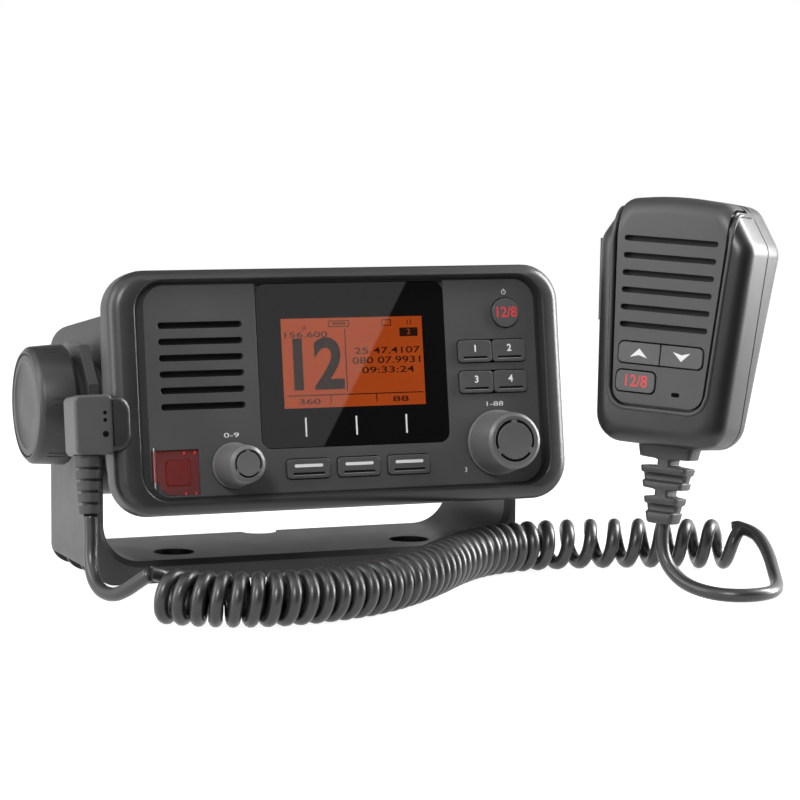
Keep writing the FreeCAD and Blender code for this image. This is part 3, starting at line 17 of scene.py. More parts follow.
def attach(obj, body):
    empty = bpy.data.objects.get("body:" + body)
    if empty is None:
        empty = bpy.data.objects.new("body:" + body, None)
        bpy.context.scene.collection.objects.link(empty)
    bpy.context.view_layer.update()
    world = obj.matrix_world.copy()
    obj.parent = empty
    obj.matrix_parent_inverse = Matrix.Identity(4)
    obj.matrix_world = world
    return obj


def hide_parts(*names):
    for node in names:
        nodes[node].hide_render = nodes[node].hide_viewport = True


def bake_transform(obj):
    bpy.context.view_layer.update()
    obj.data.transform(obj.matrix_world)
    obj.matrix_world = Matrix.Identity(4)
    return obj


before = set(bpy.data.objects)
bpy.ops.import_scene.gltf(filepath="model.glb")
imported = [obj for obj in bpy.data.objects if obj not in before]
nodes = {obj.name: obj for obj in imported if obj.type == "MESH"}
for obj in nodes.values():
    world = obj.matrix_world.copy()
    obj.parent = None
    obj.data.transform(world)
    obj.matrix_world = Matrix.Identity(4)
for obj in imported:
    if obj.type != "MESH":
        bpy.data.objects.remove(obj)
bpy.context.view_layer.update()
MM = 0.001


def in_scene(name, data):
    """A new object of this name, linked into the scene."""
    made = bpy.data.objects.new(name, data)
    bpy.context.scene.collection.objects.link(made)
    return made


# %% [markdown]
# ## Where the set and the microphone stand
#
# The set hangs nose-up in its bracket and the microphone is held upright beside it, turned
# away, so neither lies along the world's axes. A matrix for each lets every mark be placed
# with the face's own measures: across, into the body, and up, in millimetres.

# %% The two local systems
TILT = radians(8.8)
SET_FACE = Matrix.Translation(Vector((0, -61.171, 71.970)) * MM) @ Matrix.Rotation(-TILT, 4, "X")
HAND_FACE = (Matrix.Translation(Vector((94.5, -115.1, 53.4)) * MM)
             @ Matrix.Rotation(radians(-54.7), 4, "Z") @ Matrix.Rotation(radians(2.2), 4, "Y")
             @ Matrix.Rotation(radians(-5.3), 4, "X"))
IN_HAND = ("bracket_and_handset", HAND_FACE)


def placed(system, point):
    """A point by a face's own measures, in millimetres, as a place in the world."""
    return system @ (Vector(point) * MM)


print("set face at", tuple(round(v, 4) for v in SET_FACE.translation))

# %% [markdown]
# ## The camera
#
# The camera is a long lens from a good metre away, low and a little to the left. It comes
# before the pieces, because what it sees decides how much care each of them needs.

# %% Camera
LENS = 130.83
camera_data = bpy.data.cameras.new("camera")
camera_data.lens = LENS
camera_data.sensor_width = 36
camera_data.clip_start = 0.05
camera = in_scene("camera", camera_data)
right = Vector((0.92596, -0.37756, 0.00725))
up = Vector((0.03219, 0.09806, 0.99466))
back = right.cross(up)
camera.matrix_world = Matrix((right, up, back)).transposed().to_4x4()
camera.matrix_world.translation = Vector((-367.88, -1014.05, 173.13)) * MM
bpy.context.scene.camera = camera
print("lens", LENS, "mm, distance", round(camera.matrix_world.translation.length, 3), "m")

# %% [markdown]
# ## The cord's route
#
# One cord runs from the plug on the set's flank, down to the table, through a long curly
# stretch and up into the foot of the microphone. Its line is drawn first as a smooth
# NURBS curve with few points, the way a cord falls. Three curves are used: the lead that has
# to bend when the set tilts, the axis of the coil, and the lead to the microphone.

# %% Route points, in millimetres
CORD_RADIUS = 2.4
PLUG_EXIT = Vector((-93.75, -64.6, 31.6))
SET_DOWN = SET_FACE.to_3x3() @ Vector((0, 0, -1))
RADIO_LEAD = [PLUG_EXIT, PLUG_EXIT + SET_DOWN * 7, (-94.4, -66.9, 16.6), (-94.8, -71, 10.7),
              (-94.1, -77.4, 7.1), (-91.8, -84.6, 6.5), (-89.3, -91.2, 9), (-86.7, -97, 12.8),
              (-84, -102, 16.2)]
COIL_HEIGHT = 9.3
COIL_AXIS = [(-84, -102), (-77, -112), (-63, -121), (-47, -125), (-28, -122.5), (-10, -116),
             (6, -104.5), (22, -89), (38, -70.5), (54, -55.5), (72, -48), (91, -48.3),
             (109, -51.6), (126, -57), (142, -64.5), (155, -71.5)]
BOOT_EXIT = Vector((103.2, -107.6, 24.7))
HAND_DOWN = HAND_FACE.to_3x3() @ Vector((0, 0, -1))
HAND_LEAD = [BOOT_EXIT, BOOT_EXIT + HAND_DOWN * 7, (103.2, -109.8, 11.7), (104.6, -114.2, 7.3),
             (106.4, -120, 4.6), (109, -126.5, 3.3), (112.8, -132.7, 2.7), (119, -136.8, 2.6),
             (126.4, -137, 2.6), (133, -133.7, 2.6), (138.2, -127.9, 2.7), (142.8, -119.5, 3.2),
             (147, -110, 5), (151, -100, 8.5), (154, -90, 12), (155.5, -80.5, 15),
             (155, -71.5, 16.2)]


def route_curve(name, points):
    """A smooth open curve through the pull of these points, given in millimetres."""
    data = bpy.data.curves.new(name, "CURVE")
    data.dimensions = "3D"
    data.resolution_u = 8
    spline = data.splines.new("NURBS")
    spline.points.add(len(points) - 1)
    for spot, point in zip(spline.points, points):
        spot.co = (*(Vector(point) * MM), 1)
    spline.order_u = 3
    spline.use_endpoint_u = True
    return in_scene(name, data)


def points_on(curve):
    """The points of a curve that has no thickness yet, in metres, from its start to its end."""
    line = bpy.data.meshes.new_from_object(curve)
    found = [vertex.co.copy() for vertex in line.vertices]
    bpy.data.meshes.remove(line)
    return found


def length_of(line):
    return sum((b - a).length for a, b in zip(line, line[1:]))


# %% [markdown]
# ## The curly stretch
#
# A curly cord is wound on a rod and baked, so at rest its turns lie almost side by side, and
# where it is pulled they open up. Walking along the axis, the angle grows fast where the
# turns are close, and slowly where they are open and at both ends, where the cord
# straightens into its leads. The turns and the lead to the microphone are one spline, so
# nothing has to be joined.

# %% The helix along the axis
CLOSE_PITCH, OPEN_PITCH = 5.6, 9.0
OPENING_FROM, OPENING_OVER = 188.0, 25
END_STRETCH, END_REACH = 22, 9
STEPS_PER_TURN = 14
SPLINE_SHRINK = 0.75 + 0.25 * cos(2 * pi / STEPS_PER_TURN)
COIL_TURN_RADIUS = (COIL_HEIGHT - CORD_RADIUS) / SPLINE_SHRINK
axis_curve = route_curve("coil_axis", [(x, y, COIL_HEIGHT) for x, y in COIL_AXIS])
axis_line = [p / MM for p in points_on(axis_curve)]
bpy.data.objects.remove(axis_curve)
coil_length = length_of(axis_line)


def pitch_at(walked):
    """Advance per turn after so many millimetres of the axis."""
    opened = min(max((walked - OPENING_FROM) / OPENING_OVER, 0), 1)
    to_end = min(walked, coil_length - walked)
    return (CLOSE_PITCH + (OPEN_PITCH - CLOSE_PITCH) * opened
            + END_STRETCH * max(1 - to_end / END_REACH, 0) ** 2)


def along(line, walked):
    """The point and the direction of a line after so many millimetres."""
    for a, b in zip(line, line[1:]):
        step = (b - a).length
        if walked <= step:
            break
        walked -= step
    return a + (b - a) * min(walked / step, 1), (b - a).normalized()


def coil_points():
    """The points of the helix in millimetres, and how many turns it makes."""
    stops = [0.0]
    while stops[-1] < coil_length:
        stops.append(min(stops[-1] + pitch_at(stops[-1]) / STEPS_PER_TURN, coil_length))
    turns = round((len(stops) - 1) / STEPS_PER_TURN)
    per_stop = turns * 2 * pi / (len(stops) - 1)
    found = []
    for index, walked in enumerate(stops):
        middle, ahead = along(axis_line, walked)
        front = Vector((ahead.y, -ahead.x, 0))
        turn = pi / 2 + index * per_stop
        found.append(middle + (front * cos(turn) + Vector((0, 0, sin(turn)))) * COIL_TURN_RADIUS)
    return found, turns


helix, coil_turns = coil_points()
print("coil:", coil_turns, "turns over", round(coil_length), "mm")

# %% [markdown]
# ## A rubber skin for the cord
#
# The jacket is smooth polyurethane: nearly black, with a soft sheen and a clear highlight
# along every turn. A coat layer gives the highlight, and slow noise in the roughness
# keeps it from looking like lacquer.

# %% Helpers for materials
def new_material(name):
    """A node material, its node tree and its main shader."""
    material = bpy.data.materials.new(name)
    material.use_nodes = True
    tree = material.node_tree
    return material, tree, tree.nodes["Principled BSDF"]


def set_inputs(node, **values):
    """Sets a node's inputs by their names, with _ for a space."""
    for key, value in values.items():
        node.inputs[key.replace("_", " ")].default_value = value
    return node


def join(source, output, target, socket):
    """Links an output of one node to an input of another."""
    source.id_data.links.new(source.outputs[output], target.inputs[socket])


def noise(tree, size, detail=2.0):
    """Noise whose blotches are about so many metres across."""
    place = tree.nodes.new("ShaderNodeTexCoord")
    node = set_inputs(tree.nodes.new("ShaderNodeTexNoise"), Scale=1 / size, Detail=detail)
    join(place, "Object", node, "Vector")
    return node


def shaded(tree, source, low, high):
    """Turns noise into a colour between two greys or colours."""
    ramp = tree.nodes.new("ShaderNodeValToRGB")
    ramp.color_ramp.elements[0].position = 0.3
    ramp.color_ramp.elements[1].position = 0.7
    ramp.color_ramp.elements[0].color = (*low, 1)
    ramp.color_ramp.elements[1].color = (*high, 1)
    join(source, "Fac", ramp, "Fac")
    return ramp


def spread(tree, source, low, high):
    """Turns noise into a number between low and high."""
    node = set_inputs(tree.nodes.new("ShaderNodeMapRange"), To_Min=low, To_Max=high)
    join(source, "Fac", node, "Value")
    return node


def uneven(name, low, high, blotch, smooth, dull, patch):
    """A material with colour between low and high in blotches, and gloss uneven in patches."""
    material, tree, shader = new_material(name)
    tint = shaded(tree, noise(tree, *blotch), low, high)
    join(tint, "Color", shader, "Base Color")
    gloss = spread(tree, noise(tree, *patch), smooth, dull)
    join(gloss, "Result", shader, "Roughness")
    return material, tree, shader


VARY, SHEEN_VARY = 0.12, 0.05


def moulded(name, colour, rough, grain=0.00035, depth=0.00003, edge=0.00025, coat=0.0):
    """Moulded plastic or rubber: grained skin, slightly uneven colour and gloss, softened edges."""
    material, tree, shader = uneven(name, [c * (1 - VARY) for c in colour],
                                    [c * (1 + VARY) for c in colour], (0.03,),
                                    rough - SHEEN_VARY, rough + SHEEN_VARY, (0.008, 4))
    softened = tree.nodes.new("ShaderNodeBevel")
    softened.samples = 4
    set_inputs(softened, Radius=edge)
    bump = set_inputs(tree.nodes.new("ShaderNodeBump"), Strength=0.6, Distance=depth)
    join(noise(tree, grain, 3), "Fac", bump, "Height")
    join(softened, "Normal", bump, "Normal")
    join(bump, "Normal", shader, "Normal")
    set_inputs(shader, Coat_Weight=coat, Coat_Roughness=0.25)
    return material


cord_skin = moulded("cord_skin", (0.022, 0.022, 0.023), 0.38, grain=0.0012, depth=0.00002,
                    coat=0.25)

# %% [markdown]
# ## Cord pieces
#
# The lead at the set has to bend as the set tilts; here it is a mesh tube built ring by ring on
# points read from its route. The rest of the cord never moves and is a curve with a round bevel,
# which stays light and perfectly smooth.

# %% Cord from coil and microphone lead
spiral = route_curve("spiral_cord", helix + [Vector(p) for p in reversed(HAND_LEAD[:-1])])
spiral.data.resolution_u = 4
spiral_length = length_of(points_on(spiral))
spiral.data.bevel_depth = CORD_RADIUS * MM
spiral.data.bevel_resolution = 4
spiral.data.use_fill_caps = True
spiral.data.materials.append(cord_skin)
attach(spiral, "bracket_and_handset")
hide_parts("curly_cord", "handset_lead")
print("spiral cord", round(spiral_length, 3), "m")


# %% Tube for the lead that bends
def mesh_piece(name, points, faces, material, smooth=True):
    """A mesh object from points in metres and faces."""
    data = bpy.data.meshes.new(name)
    data.from_pydata([tuple(p) for p in points], [], faces)
    data.update()
    for face in data.polygons:
        face.use_smooth = smooth
    data.materials.append(material)
    return in_scene(name, data)


def tube(name, line, radius, material, sides=16):
    """A closed tube along a line, its rings carried on without twist."""
    points, faces = [], []
    side = Vector((1, 0, 0))
    for index, middle in enumerate(line):
        ahead = (line[min(index + 1, len(line) - 1)] - line[max(index - 1, 0)]).normalized()
        side = (side - ahead * side.dot(ahead)).normalized()
        other = ahead.cross(side)
        angles = [2 * pi * k / sides for k in range(sides)]
        points += [middle + (side * cos(a) + other * sin(a)) * radius for a in angles]
    for ring_shade in range(len(line) - 1):
        a = ring_shade * sides
        faces += [(a + k, a + (k + 1) % sides, a + sides + (k + 1) % sides, a + sides + k)
                  for k in range(sides)]
    faces += [tuple(reversed(range(sides))), tuple(range(len(points) - sides, len(points)))]
    return mesh_piece(name, points, faces, material)


lead_curve = route_curve("lead_route", RADIO_LEAD)
lead_line = points_on(lead_curve)
bpy.data.objects.remove(lead_curve)
lead = tube("bending_lead", lead_line, CORD_RADIUS * MM, cord_skin)
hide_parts("radio_lead")
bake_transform(lead)
print("bending lead", round(length_of(lead_line), 4), "m")

# %% [markdown]
# ## Finishes of the set
#
# Almost everything is dark grey plastic, and the finish tells the parts apart: a fine
# spark-eroded grain on the casing, smoother panel and keys, soft knobs, matt rubber boots.
# One function makes them all from their grain, gloss and edge, so they stay one family.

# %% Plastics of the casing and the panel
casing = moulded("casing_grain", (0.024, 0.024, 0.025), 0.36, grain=0.0004, depth=0.00004,
                 edge=0.0003)
bracket_grain = moulded("bracket_grain", (0.05, 0.05, 0.051), 0.42, grain=0.0005,
                        depth=0.00005, edge=0.0004)
panel_skin = moulded("panel_skin", (0.066, 0.066, 0.067), 0.42, grain=0.0003, depth=0.00002)
key_skin = moulded("key_skin", (0.072, 0.072, 0.074), 0.38, grain=0.0003, depth=0.000015,
                   edge=0.00035)
print("casing, bracket, panel and key plastics ready")

# %% Soft plastics and rubbers
knob_skin = moulded("knob_skin", (0.024, 0.024, 0.025), 0.4, grain=0.0005, depth=0.00002,
                    edge=0.0004)
control_skin = moulded("control_skin", (0.13, 0.13, 0.131), 0.36, grain=0.0004, depth=0.00002,
                       edge=0.0004)
plug_skin = moulded("plug_skin", (0.075, 0.075, 0.076), 0.4, grain=0.0004, depth=0.00003,
                    edge=0.0004)
boot_rubber = moulded("boot_rubber", (0.045, 0.045, 0.046), 0.48, grain=0.0006, depth=0.00003,
                      edge=0.0004)
# real seals, washers and key mats, and also the painted shade of the gap left of the panel
seal_rubber_and_gap_shade = moulded("seal_rubber_and_gap_shade", (0.008, 0.008, 0.008), 0.6, depth=0.00002)
hand_shell = moulded("hand_shell", (0.016, 0.016, 0.0165), 0.36, grain=0.0004, depth=0.00004)
hand_panel = moulded("hand_panel", (0.046, 0.046, 0.047), 0.42, grain=0.0003, depth=0.00003)
casting_coat = moulded("casting_coat", (0.03, 0.03, 0.031), 0.5, grain=0.0007, depth=0.00006,
                       edge=0.0005)
mesh_black = moulded("mesh_black", (0.004, 0.004, 0.004), 0.8)
print("knob, boot, seal, microphone and casting finishes ready")


# %% Metals inside and behind
def worn_metal(name, colour, rough):
    """Turned or drawn metal with fine streaks and a dull patch here and there."""
    material, tree, shader = uneven(name, [c * 0.85 for c in colour], colour, (0.004, 5),
                                    rough - 0.08, rough + 0.1, (0.0015, 6))
    set_inputs(shader, Metallic=1)
    return material


steel = worn_metal("stainless_steel", (0.55, 0.55, 0.56), 0.3)
brass = worn_metal("turned_brass", (0.62, 0.44, 0.18), 0.3)
print("steel and brass ready")

# %% [markdown]
# ## Glass, screen and see-through red
#
# The window is glass printed black from behind, so it mirrors like glass and nothing behind
# it shows, except in the clear opening over the screen. The screen lights itself: an
# emission whose strength is one shows its colour just as it is written. The guard over the
# alarm key is clear red polycarbonate. Printing ink is the same recipe with other values.

# %% Glossy materials
def glossy(name, colour, rough=0.06, specular=0.5):
    """Smooth glass, lacquer or ink: a faint drift in its colour and smudges in its gloss."""
    material, tree, shader = uneven(name, [c * 0.9 for c in colour], colour, (0.02,),
                                    rough * 0.7, rough * 1.3, (0.012, 3))
    set_inputs(shader, Specular_IOR_Level=specular)
    return material


printed_glass = glossy("printed_glass", (0.005, 0.005, 0.0055), 0.012)
board_green = glossy("board_green", (0.02, 0.12, 0.05), 0.3)
alarm_red = glossy("alarm_red", (0.11, 0.03, 0.03), 0.4)
white_ink = glossy("white_ink", (0.8, 0.8, 0.8), 0.45)
# painted highlight: a grey film for the lit lower edge of each key's feeler groove
painted_glint_grey = glossy("painted_glint_grey", (0.35, 0.35, 0.35), 0.45)
# red print on the keys, and also the painted highlights at the guard's corners
red_ink_and_guard_highlight = glossy("red_ink_and_guard_highlight", (0.75, 0.045, 0.05), 0.4)
# painted shade: a near-black film for the key grooves, the knobs' ring grooves and the plug's holes
painted_shade_black = glossy("painted_shade_black", (0.002, 0.002, 0.002), 0.6, 0.1)
# painted highlight: satin grey for the lit dimples in each knob's ring groove
dimple_highlight_grey = glossy("dimple_highlight_grey", (0.16, 0.16, 0.16), 0.25)
print("glass, boards and inks ready")

# %% Clear pane, clear red and the lit screen
clear_pane_glass, tree, shader = new_material("clear_pane_glass")
smudge = spread(tree, noise(tree, 0.012, 3), 0.0, 0.03)
join(smudge, "Result", shader, "Roughness")
set_inputs(shader, Transmission_Weight=1, IOR=1.5)

red_clear, tree, shader = new_material("red_clear")
tint = shaded(tree, noise(tree, 0.01), (0.3, 0.035, 0.035), (0.38, 0.05, 0.045))
join(tint, "Color", shader, "Base Color")
set_inputs(shader, Roughness=0.08, Alpha=0.24)


def lit(name, low, high, base, blotch=0.03):
    """A surface that glows between two colours and mirrors nothing."""
    material, tree, shader = new_material(name)
    tint = shaded(tree, noise(tree, blotch), low, high)
    join(tint, "Color", shader, "Emission Color")
    set_inputs(shader, Emission_Strength=1, Base_Color=(*base, 1), Specular_IOR_Level=0)
    return material


screen_glow = lit("screen_glow", (0.40, 0.060, 0.009), (0.45, 0.070, 0.011), (0.01, 0.002, 0.0))
screen_dark = lit("screen_dark", (0.018, 0.006, 0.003), (0.024, 0.008, 0.004), (0.002, 0.001, 0.001))
print("clear materials and screen ready")

# %% [markdown]
# ## Dressing the CAD parts
#
# A part whose shape is right only needs its finish, so each one's material slots are filled
# from a list that reads like a paint schedule.

# %% Finishes onto the CAD parts
FINISHES = {
    casing: ["front_bezel"],
    plug_skin: ["plug_body"],
    bracket_grain: ["bracket"],
    panel_skin: ["face_panel", "mic_socket"],
    key_skin: ["left_soft_key", "middle_soft_key", "right_soft_key", "upper_left_key",
               "upper_right_key", "lower_left_key", "lower_right_key", "power_key", "up_key",
               "down_key", "channel_key", "talk_switch", "hanger_stud"],
    knob_skin: ["volume_knob", "select_knob", "left_gimbal_knob", "right_gimbal_knob",
                "left_knob_cap", "right_knob_cap"],
    boot_rubber: ["plug_boot", "handset_boot", "power_gland"],
    seal_rubber_and_gap_shade: ["housing_seal", "handset_seal", "gimbal_washers", "key_membrane",
                  "handset_key_mat"],
    hand_shell: ["handset_front_shell", "handset_rear_shell", "talk_button"],
    hand_panel: ["handset_face_panel"],
    casting_coat: ["rear_housing"],
    steel: ["case_screws", "antenna_socket", "encoders", "volume_shaft", "select_shaft",
            "cover_hinge_pin", "left_stud", "right_stud", "microphone_capsule"],
    brass: ["gimbal_inserts"],
    board_green: ["front_board", "main_board", "handset_board"],
    mesh_black: ["speaker_mesh", "speaker", "handset_speaker", "display_module"],
    red_clear: ["distress_cover"],
    alarm_red: ["distress_button"],
}
for material, names in FINISHES.items():
    for name in names:
        for place in nodes[name].material_slots:
            place.material = material
dressed = sum(len(names) for names in FINISHES.values())
print(dressed, "parts dressed")

# %% [markdown]
# ## Flat pieces and printed marks
#
# Printing is a film of ink a few hundredths of a millimetre thick, so each mark is cut as a
# thin plate: a flat curve with its fill, turned into a mesh and laid on its face. Numbers
# are cut from Blender's own plain typeface in the same way.

# %% Outlines of flat pieces, in millimetres across and up
def rounded_box(left, right, low, high, radius, steps=5):
    """Outline of a rectangle with its corners drawn as arcs."""
    corners = [(right - radius, high - radius), (left + radius, high - radius),
               (left + radius, low + radius), (right - radius, low + radius)]
    found = []
    for quarter, (x, z) in enumerate(corners):
        for step in range(steps + 1):
            angle = pi / 2 * (quarter + step / steps)
            found.append((x + radius * cos(angle), z + radius * sin(angle)))
    return found


def ring_outline(x, z, radius, start=0.0, sweep=2 * pi, steps=32):
    """Points round a circle, or part of one."""
    angles = [start + sweep * k / steps for k in range(steps if sweep == 2 * pi else steps + 1)]
    return [(x + radius * cos(a), z + radius * sin(a)) for a in angles]


def arc_band(x, z, inner, outer, middle, sweep):
    """Outline of a short piece of a ring."""
    start = middle - sweep / 2
    there = ring_outline(x, z, outer, start, sweep, 8)
    return there + list(reversed(ring_outline(x, z, inner, start, sweep, 8)))


# %% Cutting and laying flat pieces
STAND_UP = Matrix.Rotation(pi / 2, 4, "X")
INK = 0.04


def as_mesh(holder, name, place, material, body):
    """Turns a curve or text into a mesh piece, laid in place, that rides on a body."""
    data = bpy.data.meshes.new_from_object(holder)
    bpy.data.objects.remove(holder)
    data.transform(place)
    data.name = name
    data.materials.clear()
    data.materials.append(material)
    piece = in_scene(name, data)
    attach(piece, body)
    return piece


def flat_piece(name, outlines, front, thick, material, body, system=SET_FACE):
    """A plate with straight sides; outlines inside the first one are its openings."""
    data = bpy.data.curves.new(name, "CURVE")
    data.dimensions = "2D"
    data.fill_mode = "BOTH"
    data.extrude = thick * MM / 2
    for outline in outlines:
        spline = data.splines.new("POLY")
        spline.points.add(len(outline) - 1)
        for spot, (x, z) in zip(spline.points, outline):
            spot.co = (x * MM, z * MM, 0, 1)
        spline.use_cyclic_u = True
    place = system @ Matrix.Translation((0, (front + thick / 2) * MM, 0)) @ STAND_UP
    return as_mesh(bpy.data.objects.new(name, data), name, place, material, body)


def inked(name, outlines, front, material, body, system=SET_FACE):
    """A film of ink on a face that lies at the depth front."""
    return flat_piece(name, outlines, front - INK, INK, material, body, system)


DIGIT_SHARE = 0.69


def number_mark(name, words, x, z, height, material, body, front, system=SET_FACE, wide=0.0,
                bold=0.0):
    """Printed digits of a height, squeezed to a width where one is given."""
    data = bpy.data.curves.new(name, "FONT")
    data.body = words
    data.size = height / DIGIT_SHARE * MM
    data.offset = bold * MM
    data.align_x = "CENTER"
    data.align_y = "CENTER"
    data.extrude = INK * MM / 2
    holder = in_scene(name, data)
    bpy.context.view_layer.update()
    tall = height * MM / holder.dimensions.y
    squeeze = wide * MM / holder.dimensions.x if wide else tall
    place = (system @ Matrix.Translation(Vector((x, front - INK / 2, z)) * MM) @ STAND_UP
             @ Matrix.Diagonal((squeeze, tall, 1, 1)))
    return as_mesh(holder, name, place, material, body)


def face_box(name, system=SET_FACE):
    """Low and high corner of a part by its face's own measures, in millimetres."""
    inverse = system.inverted()
    spots = [inverse @ vertex.co / MM for vertex in nodes[name].data.vertices]
    return ([min(spot[i] for spot in spots) for i in range(3)],
            [max(spot[i] for spot in spots) for i in range(3)])


def centre_of(name, system=SET_FACE):
    """Middle across, middle up and front of a part by its face's own measures."""
    low, high = face_box(name, system)
    return (low[0] + high[0]) / 2, (low[2] + high[2]) / 2, low[1]


print("flat pieces are", INK, "mm thick where they are ink")

# %% [markdown]
# ## Forms that the solids keep plainer
#
# The frame round the face, the microphone's shells, its strain relief and the turned knobs
# have softer forms than their solids. Each is skinned from a stack of closed outlines, the
# way a pattern maker stacks templates. Every outline has as many points, so neighbours join
# up in clean strips of four-sided faces.

# %% Outlines with rounded corners
def soft_outline(corners, steps=6):
    """Closed outline through (x, z, radius) corners, each drawn as an arc of equal steps."""
    found = []
    for index, (x, z, radius) in enumerate(corners):
        here = Vector((x, z))
        back = (Vector(corners[index - 1][:2]) - here).normalized()
        ahead = (Vector(corners[(index + 1) % len(corners)][:2]) - here).normalized()
        half = back.angle(ahead) / 2
        middle = here + (back + ahead).normalized() * radius / sin(half)
        first = here + back * radius / tan(half) - middle
        last = here + ahead * radius / tan(half) - middle
        found += [tuple(middle + first.slerp(last, step / steps) * radius)
                  for step in range(steps + 1)]
    return found


def at_depth(outline, y):
    return [(x, y, z) for x, z in outline]


def soft_box(left, right, low, high, radius, steps):
    return soft_outline([(left, low, radius), (right, low, radius), (right, high, radius),
                         (left, high, radius)], steps)


def skinned(name, rings, material, body, system=SET_FACE, loop=False, sharp=34):
    """A closed mesh over rings of (x, y, z) points in millimetres, all with as many points."""
    count = len(rings[0])
    points = [placed(system, point) for ring_shade in rings for point in ring_shade]
    faces = []
    for ring_shade in range(len(rings) if loop else len(rings) - 1):
        here, there = ring_shade * count, (ring_shade + 1) % len(rings) * count
        faces += [(here + k, here + (k + 1) % count, there + (k + 1) % count, there + k)
                  for k in range(count)]
    if not loop:
        faces += [tuple(range(count)), tuple(range(len(points) - count, len(points)))]
    piece = mesh_piece(name, points, faces, material)
    tidy_mesh(piece, sharp)
    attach(piece, body)
    return piece


DOUBLED = 0.000005


def tidy_mesh(piece, sharp=34):
    """Merges doubled points, turns the faces outwards and keeps real edges crisp."""
    form = bmesh.new()
    form.from_mesh(piece.data)
    bmesh.ops.remove_doubles(form, verts=form.verts, dist=DOUBLED)
    bmesh.ops.recalc_face_normals(form, faces=form.faces)
    form.to_mesh(piece.data)
    form.free()
    for face in piece.data.polygons:
        face.use_smooth = True
    piece.data.set_sharp_from_angle(angle=radians(sharp))


def carve(piece, *cutters):
    """Cuts the cutters out of a piece and throws them away."""
    for cutter in cutters:
        cut = piece.modifiers.new("cut", "BOOLEAN")
        cut.operation = "DIFFERENCE"
        cut.solver = "EXACT"
        cut.object = cutter
    bpy.context.view_layer.update()
    finished = piece.evaluated_get(bpy.context.evaluated_depsgraph_get())
    shaped = bpy.data.meshes.new_from_object(finished)
    piece.modifiers.clear()
    piece.data = shaped
    for cutter in cutters:
        bpy.data.objects.remove(cutter)
    tidy_mesh(piece)


# %% [markdown]
# ## The frame round the face
#
# A moulded frame, fully rounded outside and sloping inside like a shallow funnel down to the
# panel. Its section goes once round the outline, so the stack of outlines closes on itself.
# Left of the panel the funnel leaves a wider gap, darkened by a flat black strip of painted shade.

# %% Front frame
FACE_LEFT, FACE_RIGHT, FACE_HALF = 85.2, 85.0, 42.5
FACE_CORNER, FACE_ROUND, RIM_FRONT, FRAME_BACK = 13.5, 5.0, -3.0, 9.0
OPEN_LEFT, OPEN_RIGHT, OPEN_LOW, OPEN_HIGH, OPEN_CORNER = 75.3, 76.4, -36.8, 37.6, 9.2
RIM_SLOPE, FRAME_STEPS = 1.2, 10


def frame_outside(inset, y):
    half = FACE_HALF - inset
    return at_depth(soft_box(inset - FACE_LEFT, FACE_RIGHT - inset, -half, half,
                             FACE_CORNER - inset, FRAME_STEPS), y)


def frame_inside(grow, y):
    return at_depth(soft_box(-OPEN_LEFT - grow, OPEN_RIGHT + grow, OPEN_LOW - grow,
                             OPEN_HIGH + grow, OPEN_CORNER + grow, FRAME_STEPS), y)


quarter = [radians(angle) for angle in range(0, 76, 15)]
frame_rings = [frame_outside(0.3, FRAME_BACK), frame_outside(0, FRAME_BACK - 0.3)]
frame_rings += [frame_outside(FACE_ROUND * (1 - cos(a)), RIM_FRONT + FACE_ROUND * (1 - sin(a)))
                for a in quarter]
frame_rings += [frame_inside(RIM_SLOPE + 0.2, RIM_FRONT),
                frame_inside(RIM_SLOPE - 0.1, RIM_FRONT + 0.2),
                frame_inside(0, -0.1), frame_inside(0, FRAME_BACK)]
front_frame = skinned("front_frame", frame_rings, casing, "radio", loop=True)
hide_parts("front_bezel")
gap_outline = [(x, z) for x, y, z in frame_inside(-0.05, 0)]
panel_edge = soft_box(-72.4, 75.15, -36.3, 37.1, 7.5, FRAME_STEPS)
# painted shade: a flat black strip that darkens the gap between the frame and the panel
gap_shade_strip = flat_piece("gap_shade_strip", [gap_outline, panel_edge], -0.12, 0.1, seal_rubber_and_gap_shade, "radio")
print("front frame of", len(front_frame.data.polygons), "faces")

# %% Socket boss on the frame
BOSS = (-86.3, -79.6, -19.6, -0.6)
BOSS_FRONT, BOSS_BACK, BOSS_ROUND, BOSS_CORNER, BOSS_EDGE = -4.3, 8.5, 1.8, 5, 0.3


def boss_ring(inset, y):
    left, right, low, high = BOSS
    corners = [(left, low + inset, BOSS_EDGE), (right - inset, low + inset, BOSS_CORNER),
               (right - inset, high - inset, BOSS_CORNER), (left, high - inset, BOSS_EDGE)]
    return at_depth(soft_outline(corners, 8), y)


boss_rings = [boss_ring(0, BOSS_BACK)]
boss_rings += [boss_ring(BOSS_ROUND * (1 - cos(a)), BOSS_FRONT + BOSS_ROUND * (1 - sin(a)))
               for a in quarter + [pi / 2]]
socket_boss = skinned("socket_boss", boss_rings, casing, "radio")
print("boss of", len(boss_rings), "outlines over the socket")

# %% [markdown]
# ## Turned knobs
#
# Knobs are bodies of revolution, so each is one short profile of radius against depth, spun
# round its spindle. The thumb knobs at the sides get their cap with its ring line in the same
# turn, and the control knobs get the ring groove that a finger finds in the dark.

# %% Spinning a profile
def turned(name, profile, centre, axis, material, body, sides=72):
    """Spins (along, radius) pairs: along X by the sign of axis, or along Y where it is 0."""
    rings = []
    for away, radius in profile:
        ring_shade = []
        for step in range(sides):
            turn = 2 * pi * step / sides
            a, b = radius * cos(turn), radius * sin(turn)
            ring_shade.append((centre[0] + away * axis, centre[1] + a, centre[2] + b) if axis
                        else (centre[0] + a, centre[1] + away, centre[2] + b))
        rings.append(ring_shade)
    return skinned(name, rings, material, body, sharp=30)


